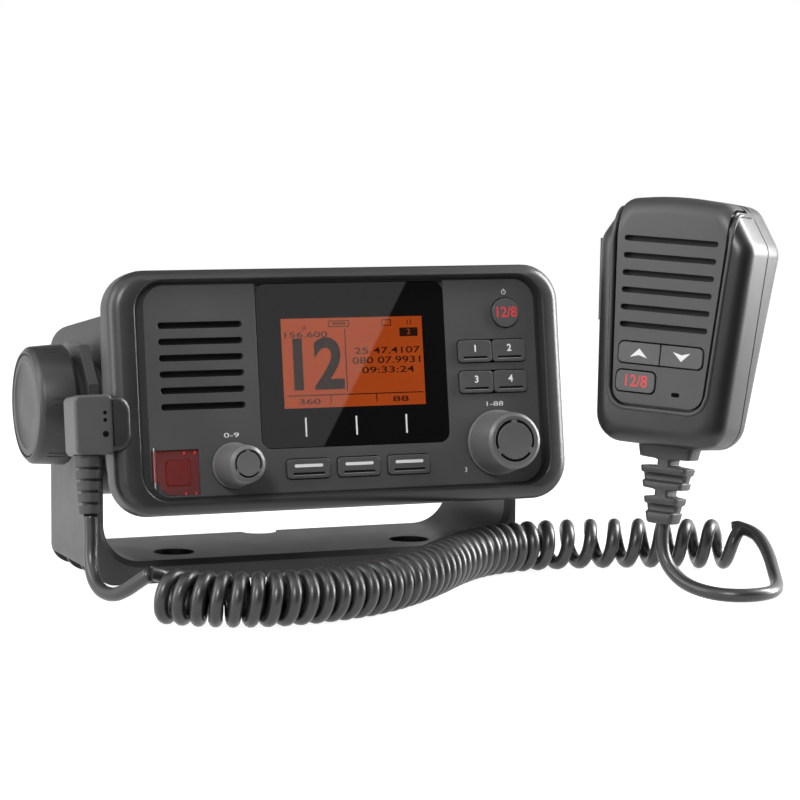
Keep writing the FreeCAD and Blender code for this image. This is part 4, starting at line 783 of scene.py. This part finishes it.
KNOB_RISE, KNOB_GAP, KNOB_BEVEL, KNOB_RING = 16.5, 0.9, 1.1, 0.7
for name, body, x, z, foot, cap in (("volume_knob", "volume_push", -42.5, -26.1, 8.05, 6.4),
                                    ("select_knob", "select_push", 57.8, -21.9, 11.8, 10.0)):
    front = -KNOB_RISE
    profile = [(-KNOB_GAP, foot - 1.2), (-KNOB_GAP, foot), (-KNOB_GAP - 1.0, foot),
               (-KNOB_GAP - 1.3, foot - 0.35), (front + KNOB_BEVEL, cap + 0.05),
               (front + KNOB_BEVEL - 0.3, cap - 0.05), (front + 0.25, cap - KNOB_BEVEL + 0.25),
               (front, cap - KNOB_BEVEL - 0.1), (front, cap * 0.775), (front + 0.08, cap * 0.76),
               (front + KNOB_RING, cap * 0.75), (front + KNOB_RING, cap * 0.67),
               (front + 0.08, cap * 0.66), (front, cap * 0.645), (front + 0.15, cap * 0.3),
               (front + 0.2, 0.02)]
    knob = turned(f"{name}_turning", profile, (x, 0, z), 0, control_skin, body)
    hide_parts(name)
print("control knobs turned")

# %% Thumb knobs of the bracket
GRIP_IN, GRIP_OUT, GRIP_R, GRIP_RIM, GRIP_CAP = 84.8, 99.0, 21.9, 21.1, 18.4
AXIS_BACK, AXIS_UP = 61.9, 0.0
RIDGE_PAIRS, RIDGE_APART, RIDGE_HALF = 6, 0.05, 0.0088
RIDGE_IN, RIDGE_OUT, RIDGE_DEPTHS = GRIP_IN + 3.5, GRIP_OUT - 4.5, (-0.3, 0.12)
GRIP_TAPER = 0.8 / (GRIP_OUT - GRIP_IN)
for side, hand in ((-1, "left"), (1, "right")):
    profile = [(GRIP_IN, 5), (GRIP_IN, GRIP_R - 1.6), (GRIP_IN + 0.5, GRIP_R - 0.5),
               (GRIP_IN + 1.4, GRIP_R), (GRIP_OUT - 1.9, GRIP_RIM + 0.05),
               (GRIP_OUT - 1.4, GRIP_RIM - 0.15), (GRIP_OUT - 0.3, GRIP_RIM - 1.3),
               (GRIP_OUT, GRIP_RIM - 1.7), (GRIP_OUT, GRIP_CAP + 0.35),
               (GRIP_OUT - 0.7, GRIP_CAP + 0.2), (GRIP_OUT - 0.7, GRIP_CAP),
               (GRIP_OUT - 0.15, GRIP_CAP - 0.25),
               (GRIP_OUT - 0.1, GRIP_CAP - 2.6), (GRIP_OUT - 0.35, GRIP_CAP - 3.0),
               (GRIP_OUT - 0.6, GRIP_CAP - 3.6), (GRIP_OUT - 0.5, 8), (GRIP_OUT - 0.45, 0.02)]
    knob = turned(f"{hand}_thumb_knob", profile, (0, AXIS_BACK, AXIS_UP), side, knob_skin,
                  f"{hand}_knob")
    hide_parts(f"{hand}_gimbal_knob", f"{hand}_knob_cap")
    points, faces = [], []
    for index in range(2 * RIDGE_PAIRS):
        pair, other = divmod(index, 2)
        middle = 2 * pi * (pair + 0.5) / RIDGE_PAIRS + pi / 2 + (RIDGE_APART if other else -RIDGE_APART)
        first, last = middle - RIDGE_HALF, middle + RIDGE_HALF
        for rise in RIDGE_DEPTHS:
            for away, spin in ((RIDGE_IN, first), (RIDGE_OUT, first), (RIDGE_OUT, last),
                               (RIDGE_IN, last)):
                radius = GRIP_R - GRIP_TAPER * (away - GRIP_IN) + rise
                points.append(placed(SET_FACE, (side * away, AXIS_BACK + radius * cos(spin),
                                                AXIS_UP + radius * sin(spin))))
        a = len(points) - 8
        faces += [(a, a + 1, a + 2, a + 3), (a + 4, a + 5, a + 6, a + 7)]
        faces += [(a + k, a + (k + 1) % 4, a + 4 + (k + 1) % 4, a + 4 + k) for k in range(4)]
    grips = mesh_piece(f"{hand}_thumb_ridges", points, faces, knob_skin)
    tidy_mesh(grips)
    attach(grips, f"{hand}_knob")
print("thumb knobs turned")

# %% [markdown]
# ## The hand microphone's shells
#
# Two half shells meet at a seam: the front one swells into full rounded cheeks, the back one
# is thinner below the grip. Their outline is the same at every depth but shrinks towards
# front and back, which a stack of outlines gives directly. The panel lies in a bed cut
# into the front and wraps over the crown.

# %% Outline and depth of the shells
FOOT_HALF, WAIST_HALF, CROWN_HALF = 24.8, 29.9, 20.5
HAND_TALL, SHOULDER, CROWN_DROP = 88.2, 71.5, 2.5
CHEEK, HAND_SEAM, SEAL, HAND_DEPTH = 6.3, 16.0, 0.6, 29.6
SLIM, SLIM_LOW, SLIM_HIGH = 4.8, 22.0, 40.0


def hand_outline(inset=0.0):
    """Tapered sides, cut shoulders, arched top and round bottom."""
    foot, waist, crown = FOOT_HALF - inset, WAIST_HALF - inset, CROWN_HALF - inset * 0.6
    top, shoulder = HAND_TALL - inset, SHOULDER - inset * 0.5
    foot_round, waist_round, crown_round, top_round = 10 - inset * 0.4, 8, 7, 120
    return soft_outline([(-foot, inset, foot_round), (foot, inset, foot_round),
                         (waist, shoulder, waist_round), (crown, top - CROWN_DROP, crown_round),
                         (0, top, top_round), (-crown, top - CROWN_DROP, crown_round),
                         (-waist, shoulder, waist_round)], 7)


def level(inset, y):
    return at_depth(hand_outline(inset), y)


def hand_back(z):
    """How far back the shell reaches at a height."""
    share = min(max((z - SLIM_LOW) / (SLIM_HIGH - SLIM_LOW), 0), 1)
    return HAND_DEPTH - SLIM * (1 - share * share * (3 - 2 * share))


def tapering(ring_shade, share):
    """A ring drawn in to the middle line, at its own heights."""
    return [(x * share, y, z) for x, y, z in ring_shade]


arc = [radians(angle) for angle in range(0, 91, 10)]
front_rings = [level(0, HAND_SEAM)]
front_rings += [level(CHEEK * (1 - cos(a)), CHEEK * (1 - sin(a))) for a in arc]
mic_front = skinned("mic_front_shell", front_rings, hand_shell, *IN_HAND)
back_rings = [level(0, HAND_SEAM + SEAL)]
for a in arc:
    back_rings.append([(x, hand_back(z) - CHEEK * (1 - sin(a)), z)
                       for x, z in hand_outline(CHEEK * (1 - cos(a)))])
back_rings += [tapering(back_rings[-1], share) for share in (0.66, 0.33, 0)]
mic_back = skinned("mic_back_shell", back_rings, hand_shell, *IN_HAND)
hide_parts("handset_front_shell")
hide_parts("handset_rear_shell")
print("microphone shells skinned")

# %% The panel over the front and the crown
PANEL_FOOT, PANEL_TOP, PANEL_LOW, PANEL_BACK, PANEL_THICK = 17.3, 21.1, 14.0, 12.0, 2.2
FLAT_HIGH, FOOT_ROUND = 73.5, 5


def crown_spot(x, inset):
    """Height of the shell's outline over a place x, and the way it faces there."""
    ring_shade = hand_outline(inset)
    found = [(0.0, 0.0, 1.0)]
    for (ax, az), (bx, bz) in zip(ring_shade, ring_shade[1:] + ring_shade[:1]):
        if min(ax, bx) <= x <= max(ax, bx) and ax != bx:
            long = ((bx - ax) ** 2 + (bz - az) ** 2) ** 0.5
            found.append((az + (bz - az) * (x - ax) / (bx - ax), (bz - az) / long,
                          (ax - bx) / long))
    return max(found)


def panel_half(z, grow):
    """Half width of the panel at a height, with its rounded foot."""
    radius = FOOT_ROUND + grow
    share = min((z - PANEL_LOW) / (SHOULDER - PANEL_LOW), 1)
    wide = PANEL_FOOT + (PANEL_TOP - PANEL_FOOT) * share + grow
    over = min(z - (PANEL_LOW - grow), radius)
    return wide - radius + (radius ** 2 - (radius - over) ** 2) ** 0.5


def panel_sheet(grow, depth, columns=28):
    """Rows of points on the panel's surface, sunk by a depth, from foot to crown."""
    rows = []
    heights = [PANEL_LOW - grow + up for up in (0.02, 0.25, 0.8, 1.8, 3.2, FOOT_ROUND + grow)]
    for z in heights + [26, 36, 46, 60, FLAT_HIGH]:
        half = panel_half(z, grow)
        across = [half * (2 * k / columns - 1) for k in range(columns + 1)]
        rows.append([(x, depth, min(z, crown_spot(x, CHEEK)[0] - 0.4)) for x in across])
    half = PANEL_TOP + grow
    across = [half * (2 * k / columns - 1) for k in range(columns + 1)]
    for a in reversed(arc):
        inset, y = CHEEK * (1 - cos(a)), CHEEK * (1 - sin(a))
        spots = [(x, crown_spot(x, inset)) for x in across]
        rows.append([(x - depth * cos(a) * side, y + depth * sin(a), z - depth * cos(a) * rise)
                     for x, (z, side, rise) in spots])
    rows.append([(x, PANEL_BACK + grow, z) for x, y, z in rows[-1]])
    return rows


def panel_solid(name, grow, outer, inner, material):
    """The sheet given a thickness, as a closed solid."""
    outside, inside = panel_sheet(grow, outer), panel_sheet(grow, inner)
    wide, tall = len(outside[0]), len(outside)
    points = [placed(HAND_FACE, p) for sheet in (outside, inside) for row in sheet for p in row]
    faces = []
    shift = wide * tall
    for layer in (0, shift):
        corners = [layer + r * wide + k for r in range(tall - 1) for k in range(wide - 1)]
        faces += [(a, a + 1, a + wide + 1, a + wide) for a in corners]
    rim = (list(range(wide)) + [r * wide + wide - 1 for r in range(1, tall)]
           + [(tall - 1) * wide + k for k in range(wide - 2, -1, -1)]
           + [r * wide for r in range(tall - 2, 0, -1)])
    faces += [(a, b, b + shift, a + shift) for a, b in zip(rim, rim[1:] + rim[:1])]
    piece = mesh_piece(name, points, faces, material)
    tidy_mesh(piece)
    return piece


SLOT_LOW, SLOT_PITCH, SLOT_LONG, SLOT_TAPER, SLOT_TALL = 41.5, 6.04, 34.2, 0.46, 2.0


def mic_cutter(outline, front, thick):
    return flat_piece("cutter", [outline], front, thick, hand_shell, *IN_HAND)


def slot_outlines():
    found = []
    for row in range(6):
        half, z = (SLOT_LONG + SLOT_TAPER * row) / 2, SLOT_LOW + SLOT_PITCH * row
        found.append(rounded_box(-half, half, z - SLOT_TALL / 2, z + SLOT_TALL / 2, 0.95))
    return found


def key_hole(first, last):
    """The hole in the panel for one key, or for two side by side, with a gap all round."""
    low, high = face_box(first, HAND_FACE)[0], face_box(last, HAND_FACE)[1]
    return rounded_box(low[0] - KEY_GAP, high[0] + KEY_GAP, low[2] - KEY_GAP, high[2] + KEY_GAP, 2.2)


KEY_GAP, CUT_ROOM, CLOTH, BED_GAP = 0.5, 0.3, 0.08, 0.85
slots = slot_outlines()
key_holes = [key_hole("up_key", "down_key"), key_hole("channel_key", "channel_key"),
             rounded_box(5.5, 8.7, 17.75, 19.25, 0.7)]
mic_panel = panel_solid("mic_panel", 0, 0, PANEL_THICK - 0.1, hand_panel)
carve(mic_panel, *[mic_cutter(hole, -1, 4) for hole in slots + key_holes])
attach(mic_panel, "bracket_and_handset")
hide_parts("handset_face_panel")
talk_low, talk_high = face_box("talk_button", HAND_FACE)
talk_gap = rounded_box(talk_low[0] - 3, talk_high[0] + 1.8, talk_low[2] - CUT_ROOM,
                       talk_high[2] + CUT_ROOM, 0.2)
carve(mic_front, panel_solid("bed", BED_GAP, -2, PANEL_THICK, hand_shell),
      *[mic_cutter(hole, 0, 9) for hole in key_holes],
      mic_cutter(talk_gap, talk_low[1] - CUT_ROOM, talk_high[1] - talk_low[1] + 2 * CUT_ROOM))
cloth_low, cloth_high = SLOT_LOW - 2.5, SLOT_LOW + 5 * SLOT_PITCH + 2.5
flat_piece("mic_cloth", [rounded_box(-19, 19, cloth_low, cloth_high, 2)], PANEL_THICK - CLOTH,
           CLOTH, mesh_black, *IN_HAND)
print("microphone panel of", len(mic_panel.data.polygons), "faces")

# %% Bead round the panel
rows = panel_sheet(1.65, -0.02)
bead_line = [row[0] for row in reversed(rows)]
bead_line += [rows[0][k] for k in range(2, 27, 2)]
bead_line += [row[-1] for row in rows]
bead = tube("mic_panel_bead", [placed(HAND_FACE, p) for p in bead_line], 0.75 * MM, hand_panel, 12)
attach(bead, "bracket_and_handset")
print("bead of", len(bead_line), "points")

# %% [markdown]
# ## Strain relief of the microphone
#
# A flat rubber boot that may bend: notches bite in from the sides and, between them, grooves
# from front and back, so a slim core of rubber runs down the middle. It is a stack of
# rounded rectangles down the cord, whose width or depth drops at each notch.

# %% Microphone boot
BOOT_LONG, BOOT_Y, BOOT_WIDE, BOOT_TIP, BOOT_DEEP = 27.5, 14.0, 10.8, 4.9, 4.7
ROW_FIRST, ROW_PITCH, CORE_HALF, GROOVE = 5.9, 5.4, 2.6, 2.2
BITE = ((-1.75, 0), (-1.5, 0.12), (-1.25, 0.8), (-0.9, 1), (0.9, 1), (1.25, 0.8), (1.5, 0.12), (1.75, 0))


def boot_ring(z, wide, deep):
    radius = min(1.9, wide * 0.6, deep * 0.6)
    return [(x, BOOT_Y + y, z) for x, y in soft_box(-wide, wide, -deep, deep, radius, 4)]


def boot_half(down):
    return BOOT_WIDE + (BOOT_TIP - BOOT_WIDE) * down / BOOT_LONG


boot_rings = [boot_ring(0.5, boot_half(0), BOOT_DEEP), boot_ring(-0.6, boot_half(0.6), BOOT_DEEP)]
for row in range(4):
    down = ROW_FIRST + ROW_PITCH * row
    for offset, share in BITE:
        here = down + offset
        wide, deep = boot_half(here), BOOT_DEEP
        if row % 2:
            deep -= GROOVE * share
        else:
            wide -= (wide - CORE_HALF) * share
        boot_rings.append(boot_ring(-here, wide, deep))
boot_rings += [boot_ring(-BOOT_LONG + 0.5, BOOT_TIP, BOOT_DEEP),
               boot_ring(-BOOT_LONG, BOOT_TIP - 0.5, BOOT_DEEP - 0.5)]
mic_boot = skinned("mic_boot", boot_rings, boot_rubber, *IN_HAND, sharp=50)
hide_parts("handset_boot")
print("microphone boot of", len(boot_rings), "outlines")

# %% [markdown]
# ## The display window
#
# On the real set one sheet of glass covers the display, printed black on its back except for
# the opening. Built as one solid it hides the screen, so it is replaced by two pieces in the
# same place: the printed sheet with its opening, and the clear pane that fills it. The screen
# sits just behind, as it does in a liquid crystal module.

# %% Glass with its printed border
glass_low, glass_high = face_box("display_window")
VIEW = (-22.5, 31.4, -7.05, 24.5)
GLASS_ROUND = 3.5
sheet_outline = rounded_box(glass_low[0], glass_high[0], glass_low[2], glass_high[2], GLASS_ROUND)
view_outline = rounded_box(*VIEW, 0.3)
border = flat_piece("printed_border", [sheet_outline, view_outline], glass_low[1],
                    glass_high[1] - glass_low[1], printed_glass, "radio")
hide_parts("display_window")
PANE_THICK = 1.1
pane = flat_piece("clear_pane", [view_outline], glass_low[1], PANE_THICK, clear_pane_glass, "radio")
print("window", round(glass_high[0] - glass_low[0], 1), "mm wide")

# %% Screen and what it shows
SCREEN_FRONT = glass_low[1] + PANE_THICK + 0.2
SCREEN_THICK = 0.15
screen = flat_piece("screen", [rounded_box(*VIEW, 0.2)], SCREEN_FRONT, SCREEN_THICK, screen_glow,
                    "radio")


def screen_bar(name, left, right, low, high):
    inked(name, [rounded_box(left, right, low, high, 0.05, 2)], SCREEN_FRONT, screen_dark, "radio")


def screen_number(name, words, x, z, height, wide=0.0, bold=0.02, material=screen_dark, lift=0.0):
    number_mark(name, words, x, z, height, material, "radio", SCREEN_FRONT - lift, wide=wide, bold=bold)


screen_number("channel_number", "12", -10.6, 7.4, 18.5, wide=19, bold=0.75)
screen_number("screen_power", "25", -13.6, 21.2, 1.3)
screen_number("screen_frequency", "156.600", -13.4, 18.7, 2.0, wide=16)
screen_bar("screen_divider", 1.55, 1.9, -1.6, 20.4)
screen_bar("screen_foot_line", -20.8, 30.6, -2.8, -2.45)
screen_bar("screen_left_tab", -4.8, -4.45, -5.6, -2.8)
screen_bar("screen_right_tab", 12.5, 12.85, -5.6, -2.8)
for row, (words, wide) in enumerate((("25 47.4107", 25), ("080 07.9931", 26), ("09:33:24", 20))):
    screen_number(f"screen_row_{row + 1}", words, 17.6, 12.5 - 3.45 * row, 2.3, wide=wide)
screen_number("screen_left_choice", "360", -12.7, -4.9, 1.9, wide=8)
screen_number("screen_right_choice", "88", 21.9, -4.9, 1.9, wide=6)
screen_bar("screen_badge", 22.6, 29.6, 17.4, 20.5)
screen_number("screen_badge_number", "2", 26.1, 18.95, 1.9, material=screen_glow, lift=INK)
for index, (left, right) in enumerate(((-4.4, 3.6), (15.9, 19.5))):
    inked(f"screen_box_{index + 1}", [rounded_box(left, right, 21.3, 23.6, 0.1, 2),
                                      rounded_box(left + 0.3, right - 0.3, 21.6, 23.3, 0.1, 2)],
          SCREEN_FRONT, screen_dark, "radio")
screen_number("screen_box_number", "8888", -0.4, 22.45, 1.0, wide=5)
screen_number("screen_signal", "11", 26.4, 22.4, 1.7)
print("screen drawn", round(SCREEN_FRONT, 2), "mm behind the face")

# %% Ticks on the glass over the three keys
for hand in ("left", "middle", "right"):
    middle = centre_of(f"{hand}_soft_key")[0]
    inked(f"{hand}_tick", [rounded_box(middle - 0.3, middle + 0.3, -17.1, -10.4, 0.25)],
          glass_low[1], white_ink, "radio")

# %% [markdown]
# ## Key tops
#
# The three keys under the screen carry a white bar, the four function keys a number, and all
# of them a feeler groove along the foot, drawn as painted shade with a painted highlight on its
# lower edge. The marks are worked out from each key's own box, so they stay centred if a key
# is moved or resized.

# %% Bars, numbers, and painted shade and highlights of the grooves
GROOVE_UP, GROOVE_TALL, GLINT_TALL = 1.25, 0.85, 0.18


def key_groove_shade(name, share=0.74):
    """Painted shade of a feeler groove along a key's foot, and a painted highlight on its lower edge."""
    low, high = face_box(name)
    middle, half = (low[0] + high[0]) / 2, (high[0] - low[0]) / 2 * share
    foot = low[2] + GROOVE_UP
    # painted shade: a near-black film where the groove is
    inked(f"{name}_groove_shade", [rounded_box(middle - half, middle + half, foot, foot + GROOVE_TALL, 0.4)],
          low[1], painted_shade_black, f"{name}_body")
    # painted highlight: a grey line where the light catches the groove's lower edge
    inked(f"{name}_glint", [rounded_box(middle - half, middle + half, foot - GLINT_TALL, foot, 0.08, 2)],
          low[1], painted_glint_grey, f"{name}_body")
    return middle, high[2], low[1]


for hand in ("left", "middle", "right"):
    name = f"{hand}_soft_key"
    middle, top, front = key_groove_shade(name)
    inked(f"{hand}_bar", [rounded_box(middle - 5.3, middle + 5.3, top - 2.9, top - 1.8, 0.5)],
          front, white_ink, f"{name}_body")
for digit, place in enumerate(("upper_left", "upper_right", "lower_left", "lower_right")):
    name = f"{place}_key"
    middle, top, front = key_groove_shade(name, 0.72)
    number_mark(f"{name}_number", str(digit + 1), middle, top - 3.1, 2.6, white_ink,
                f"{name}_body", front, bold=0.1)
x, z, front = centre_of("power_key")
number_mark("power_key_number", "12/8", x, z, 3.8, red_ink_and_guard_highlight, "power", front, wide=7.9, bold=0.05)
print("key tops marked")

# %% Small marks on the panel
PANEL_FRONT = face_box("face_panel")[0][1]
for name, words, x, z, height, wide in (("volume_scale", "0-9", -42.6, -15.6, 1.6, 5.5),
                                        ("channel_scale", "1-88", 57.6, -7.9, 1.6, 6.5),
                                        ("channel_mark", "3", 45.3, -31.2, 1.7, 0.0)):
    number_mark(name, words, x, z, height, white_ink, "radio", PANEL_FRONT, wide=wide)
POWER_X, POWER_Z, POWER_R = 63.55, 32.5, 0.95
inked("power_ring", [arc_band(POWER_X, POWER_Z, POWER_R - 0.25, POWER_R, -pi / 2, 1.65 * pi)],
      PANEL_FRONT, white_ink, "radio")
inked("power_bar", [rounded_box(POWER_X - 0.13, POWER_X + 0.13, POWER_Z, POWER_Z + 1.2, 0.1, 2)],
      PANEL_FRONT, white_ink, "radio")
print("panel marks laid on", round(PANEL_FRONT, 2))

# %% [markdown]
# ## Knob tops
#
# Each control knob has a ring groove in its cap, with three dimples that a finger can feel.
# The groove is turned into the knob already, so only a black ring of painted shade on its floor
# and three grey patches of painted highlight where the dimples catch the light are added,
# round the middle of the knob.

# %% Painted shade in the ring grooves and painted highlights on the dimples
def knob_top(name, body, cap):
    x, z, front = centre_of(name)
    inner, outer = cap * 0.668, cap * 0.755
    # painted shade: a black ring on the floor of the groove
    flat_piece(f"{name}_ring", [ring_outline(x, z, outer), ring_outline(x, z, inner)],
               front + 0.35, 0.05, painted_shade_black, body)
    # painted highlights: three grey patches where the dimples catch the light
    for spot in range(3):
        middle = pi / 2 + spot * 2 * pi / 3
        flat_piece(f"{name}_dimple_highlight_{spot + 1}", [arc_band(x, z, inner, outer, middle, 0.3)],
                   front + 0.05, 0.3, dimple_highlight_grey, body)


knob_top("volume_knob", "volume_push", 6.3)
knob_top("select_knob", "select_push", 9.9)
print("knob tops ready")

# %% [markdown]
# ## Guard over the alarm key
#
# The guard is clear, so the key shows through it. Small bright marks at its corners are painted
# highlights where its edges catch the light, and fine lines its ribs. All ride on the guard and swing with
# it.

# %% Marks of the guard
guard_low, guard_high = face_box("distress_cover")
for index, (x, z) in enumerate(((-56.5, -21.1), (-60.3, -21.1), (-60.3, -35.1), (-56.5, -35.1))):
    # painted highlights: bright red marks at the guard's four corners
    inked(f"guard_highlight_{index + 1}", [rounded_box(x - 0.25, x + 0.25, z - 0.5, z + 0.5, 0.1, 2)],
          guard_low[1], red_ink_and_guard_highlight, "cover")
key_low, key_high = face_box("distress_button")
middle = (key_low[2] + key_high[2]) / 2
for index in range(3):
    x = key_high[0] + 0.9 + 1.1 * index
    flat_piece(f"guard_line_{index + 1}", [rounded_box(x, x + 0.3, middle - 5, middle + 5, 0.1, 2)],
               guard_high[1] + 0.02, INK, alarm_red, "cover")
print("guard marked")

# %% [markdown]
# ## Marks of the microphone and its plug
#
# The up and down keys carry arrows with a hollow base, the quick key a number. The plug has
# two small screw holes and a larger one, drawn as black discs of painted shade.

# %% Arrows and number on the microphone
def arrow_outline(x, z, way, half=3.4, rise=1.6, notch=0.9):
    """An arrow head that points up where way is 1 and down where it is -1."""
    outline = [(x - half, z - rise * way), (x, z - (rise - notch) * way),
               (x + half, z - rise * way), (x, z + rise * way)]
    return outline[::way]


for name, body, way in (("up_key", "channel_up", 1), ("down_key", "channel_down", -1)):
    x, z, front = centre_of(name, HAND_FACE)
    inked(f"{name}_arrow", [arrow_outline(x, z, way)], front, white_ink, body, HAND_FACE)
x, z, front = centre_of("channel_key", HAND_FACE)
number_mark("channel_key_number", "12/8", x, z, 4.2, red_ink_and_guard_highlight, "quick_channel", front, HAND_FACE,
            wide=8.6, bold=0.05)

# %% Painted shade for the holes of the plug
plug_front = centre_of("plug_body")[2]
for index, (x, z, radius) in enumerate(((-88.9, -6.3, 0.7), (-88.9, -8.8, 0.7), (-88.9, -13.6, 1.1))):
    # painted shade: black discs where the plug's holes are
    flat_piece(f"plug_hole_shade_{index + 1}", [ring_outline(x, z, radius, steps=20)], plug_front - 0.02,
               0.03, painted_shade_black, "radio")
print("microphone and plug marked")

# %% [markdown]
# ## Light, floor and backdrop
#
# Dark plastic is drawn by what it mirrors. Tall soft panels at both sides give the long
# highlights down the edges, weaker ones above and in front fill, and black cards keep the
# broad faces deep, as they would in a studio. The floor is white to the camera and to
# reflections, and keeps the soft contact shadow.

# %% Floor
def seen_directly(tree):
    """One for rays of the camera, of reflections and of clear glass, otherwise zero."""
    path = tree.nodes.new("ShaderNodeLightPath")
    total = path.outputs["Is Camera Ray"]
    for name in ("Is Glossy Ray", "Is Transmission Ray"):
        largest = tree.nodes.new("ShaderNodeMath")
        largest.operation = "MAXIMUM"
        tree.links.new(total, largest.inputs[0])
        tree.links.new(path.outputs[name], largest.inputs[1])
        total = largest.outputs[0]
    return total


FLOOR_LIFT, FLOOR_GREY, FLOOR_REACH = 0.93, 0.3, 1.8
white_floor, tree, shader = new_material("white_floor")
set_inputs(shader, Base_Color=(FLOOR_GREY, FLOOR_GREY, FLOOR_GREY, 1), Roughness=0.9,
           Specular_IOR_Level=0)
lift = tree.nodes.new("ShaderNodeEmission")
strength = tree.nodes.new("ShaderNodeMath")
strength.operation = "MULTIPLY"
strength.inputs[1].default_value = FLOOR_LIFT
tree.links.new(seen_directly(tree), strength.inputs[0])
tree.links.new(strength.outputs[0], lift.inputs["Strength"])
both = tree.nodes.new("ShaderNodeAddShader")
tree.links.new(shader.outputs["BSDF"], both.inputs[0])
tree.links.new(lift.outputs["Emission"], both.inputs[1])
tree.links.new(both.outputs["Shader"], tree.nodes["Material Output"].inputs["Surface"])
floor_corners = [(x * FLOOR_REACH, y * FLOOR_REACH, 0) for x, y in ((-1, -1), (1, -1), (1, 1), (-1, 1))]
floor = mesh_piece("floor", floor_corners, [(0, 1, 2, 3)], white_floor, smooth=False)
print("floor", 2 * FLOOR_REACH, "m across")

# %% World
world = bpy.data.worlds.new("studio")
bpy.context.scene.world = world
world.use_nodes = True
tree = world.node_tree
sky = tree.nodes["Background"]
set_inputs(sky, Color=(1, 1, 1, 1))
WORLD_FILL = 0.16
glow = set_inputs(tree.nodes.new("ShaderNodeMapRange"), To_Min=WORLD_FILL, To_Max=1.0)
tree.links.new(seen_directly(tree), glow.inputs["Value"])
join(glow, "Result", sky, "Strength")
print("world fills with", WORLD_FILL)


# %% Lamps
def soft_panel(name, place, aim, width, height, power):
    """A rectangular lamp that shines from place towards aim."""
    data = bpy.data.lights.new(name, "AREA")
    data.shape = "RECTANGLE"
    data.size, data.size_y, data.energy = width, height, power
    lamp = in_scene(name, data)
    lamp.location = place
    lamp.rotation_euler = (Vector(aim) - Vector(place)).to_track_quat("-Z", "Y").to_euler()


AIM = (0, -0.05, 0.06)
soft_panel("top_panel", (-0.1, -0.2, 1.3), (0, -0.05, 0.05), 1.2, 0.9, 5)
soft_panel("left_panel", (-1.1, 0.1, 0.5), AIM, 0.5, 1.0, 8)
soft_panel("right_panel", (1.1, -0.1, 0.5), AIM, 0.4, 1.0, 34)
soft_panel("front_panel", (-0.75, -1.15, 0.95), AIM, 0.35, 0.35, 14)
print("four soft panels")

# %% [markdown]
# ## Black cards and the glare
#
# A flag is a black card that only reflections see. One stands in front of the set, one
# behind it, one lies on the floor and one hangs over it. A brighter card with a slanting
# edge, nearer than the front one, is what the glass mirrors as its sharp diagonal glare. To
# find where it has to stand, the camera is mirrored in the glass: a line from there through
# a point of the glass ends on the card.

# %% Cards that only reflections see
def plain_shade(name, strength):
    """A card's material: an even glow with a slow fall-off, or all but black."""
    return lit(name, [strength * 0.8] * 3, [strength] * 3, (0, 0, 0), 0.4)


def card(name, corners, material):
    piece = mesh_piece(name, corners, [tuple(range(len(corners)))], material, smooth=False)
    piece.visible_camera = False
    piece.visible_diffuse = False
    piece.visible_shadow = False


flag_black = plain_shade("flag_black", 0.02)
glare_white = plain_shade("glare_white", 0.75)
for name, corners in (
        ("front_flag", [(-0.35, -1.3, 0.02), (1.5, -1.0, 0.02), (1.5, -1.0, 1.3), (-0.35, -1.3, 1.3)]),
        ("floor_flag", [(-0.6, -1.2, 0.001), (0.7, -1.2, 0.001), (0.7, -0.2, 0.001), (-0.6, -0.2, 0.001)]),
        ("back_flag", [(-0.5, 1.0, 0.4), (0.9, 1.0, 0.4), (0.9, 1.0, 1.3), (-0.5, 1.0, 1.3)]),
        ("top_flag", [(-0.6, -1.0, 1.32), (0.6, -1.0, 1.32), (0.6, 0.9, 1.32), (-0.6, 0.9, 1.32)])):
    card(name, corners, flag_black)


def through_glass(x, z, reach):
    """The point that the camera sees mirrored at (x, z) of the glass, reach times as far off."""
    touch = placed(SET_FACE, (x, glass_low[1], z))
    normal = (SET_FACE.to_3x3() @ Vector((0, -1, 0))).normalized()
    eye = camera.matrix_world.translation
    mirrored = eye - normal * 2 * (eye - touch).dot(normal)
    return mirrored + (touch - mirrored) * reach


GLARE_TOP, GLARE_FOOT = (25.76, 36.69), (-8.95, -21.29)
slope = (GLARE_TOP[0] - GLARE_FOOT[0]) / (GLARE_TOP[1] - GLARE_FOOT[1])
HIGH, LOW, LEFT, GLARE_REACH = 55.0, -35.0, -34.0, 1.9
card("glare_card", [through_glass(x, z, GLARE_REACH) for x, z in
                    ((LEFT, LOW), (GLARE_FOOT[0] + slope * (LOW - GLARE_FOOT[1]), LOW),
                     (GLARE_TOP[0] + slope * (HIGH - GLARE_TOP[1]), HIGH), (LEFT, HIGH))],
     glare_white)
bpy.context.scene.view_settings.view_transform = "Standard"
print("cards stand ready")
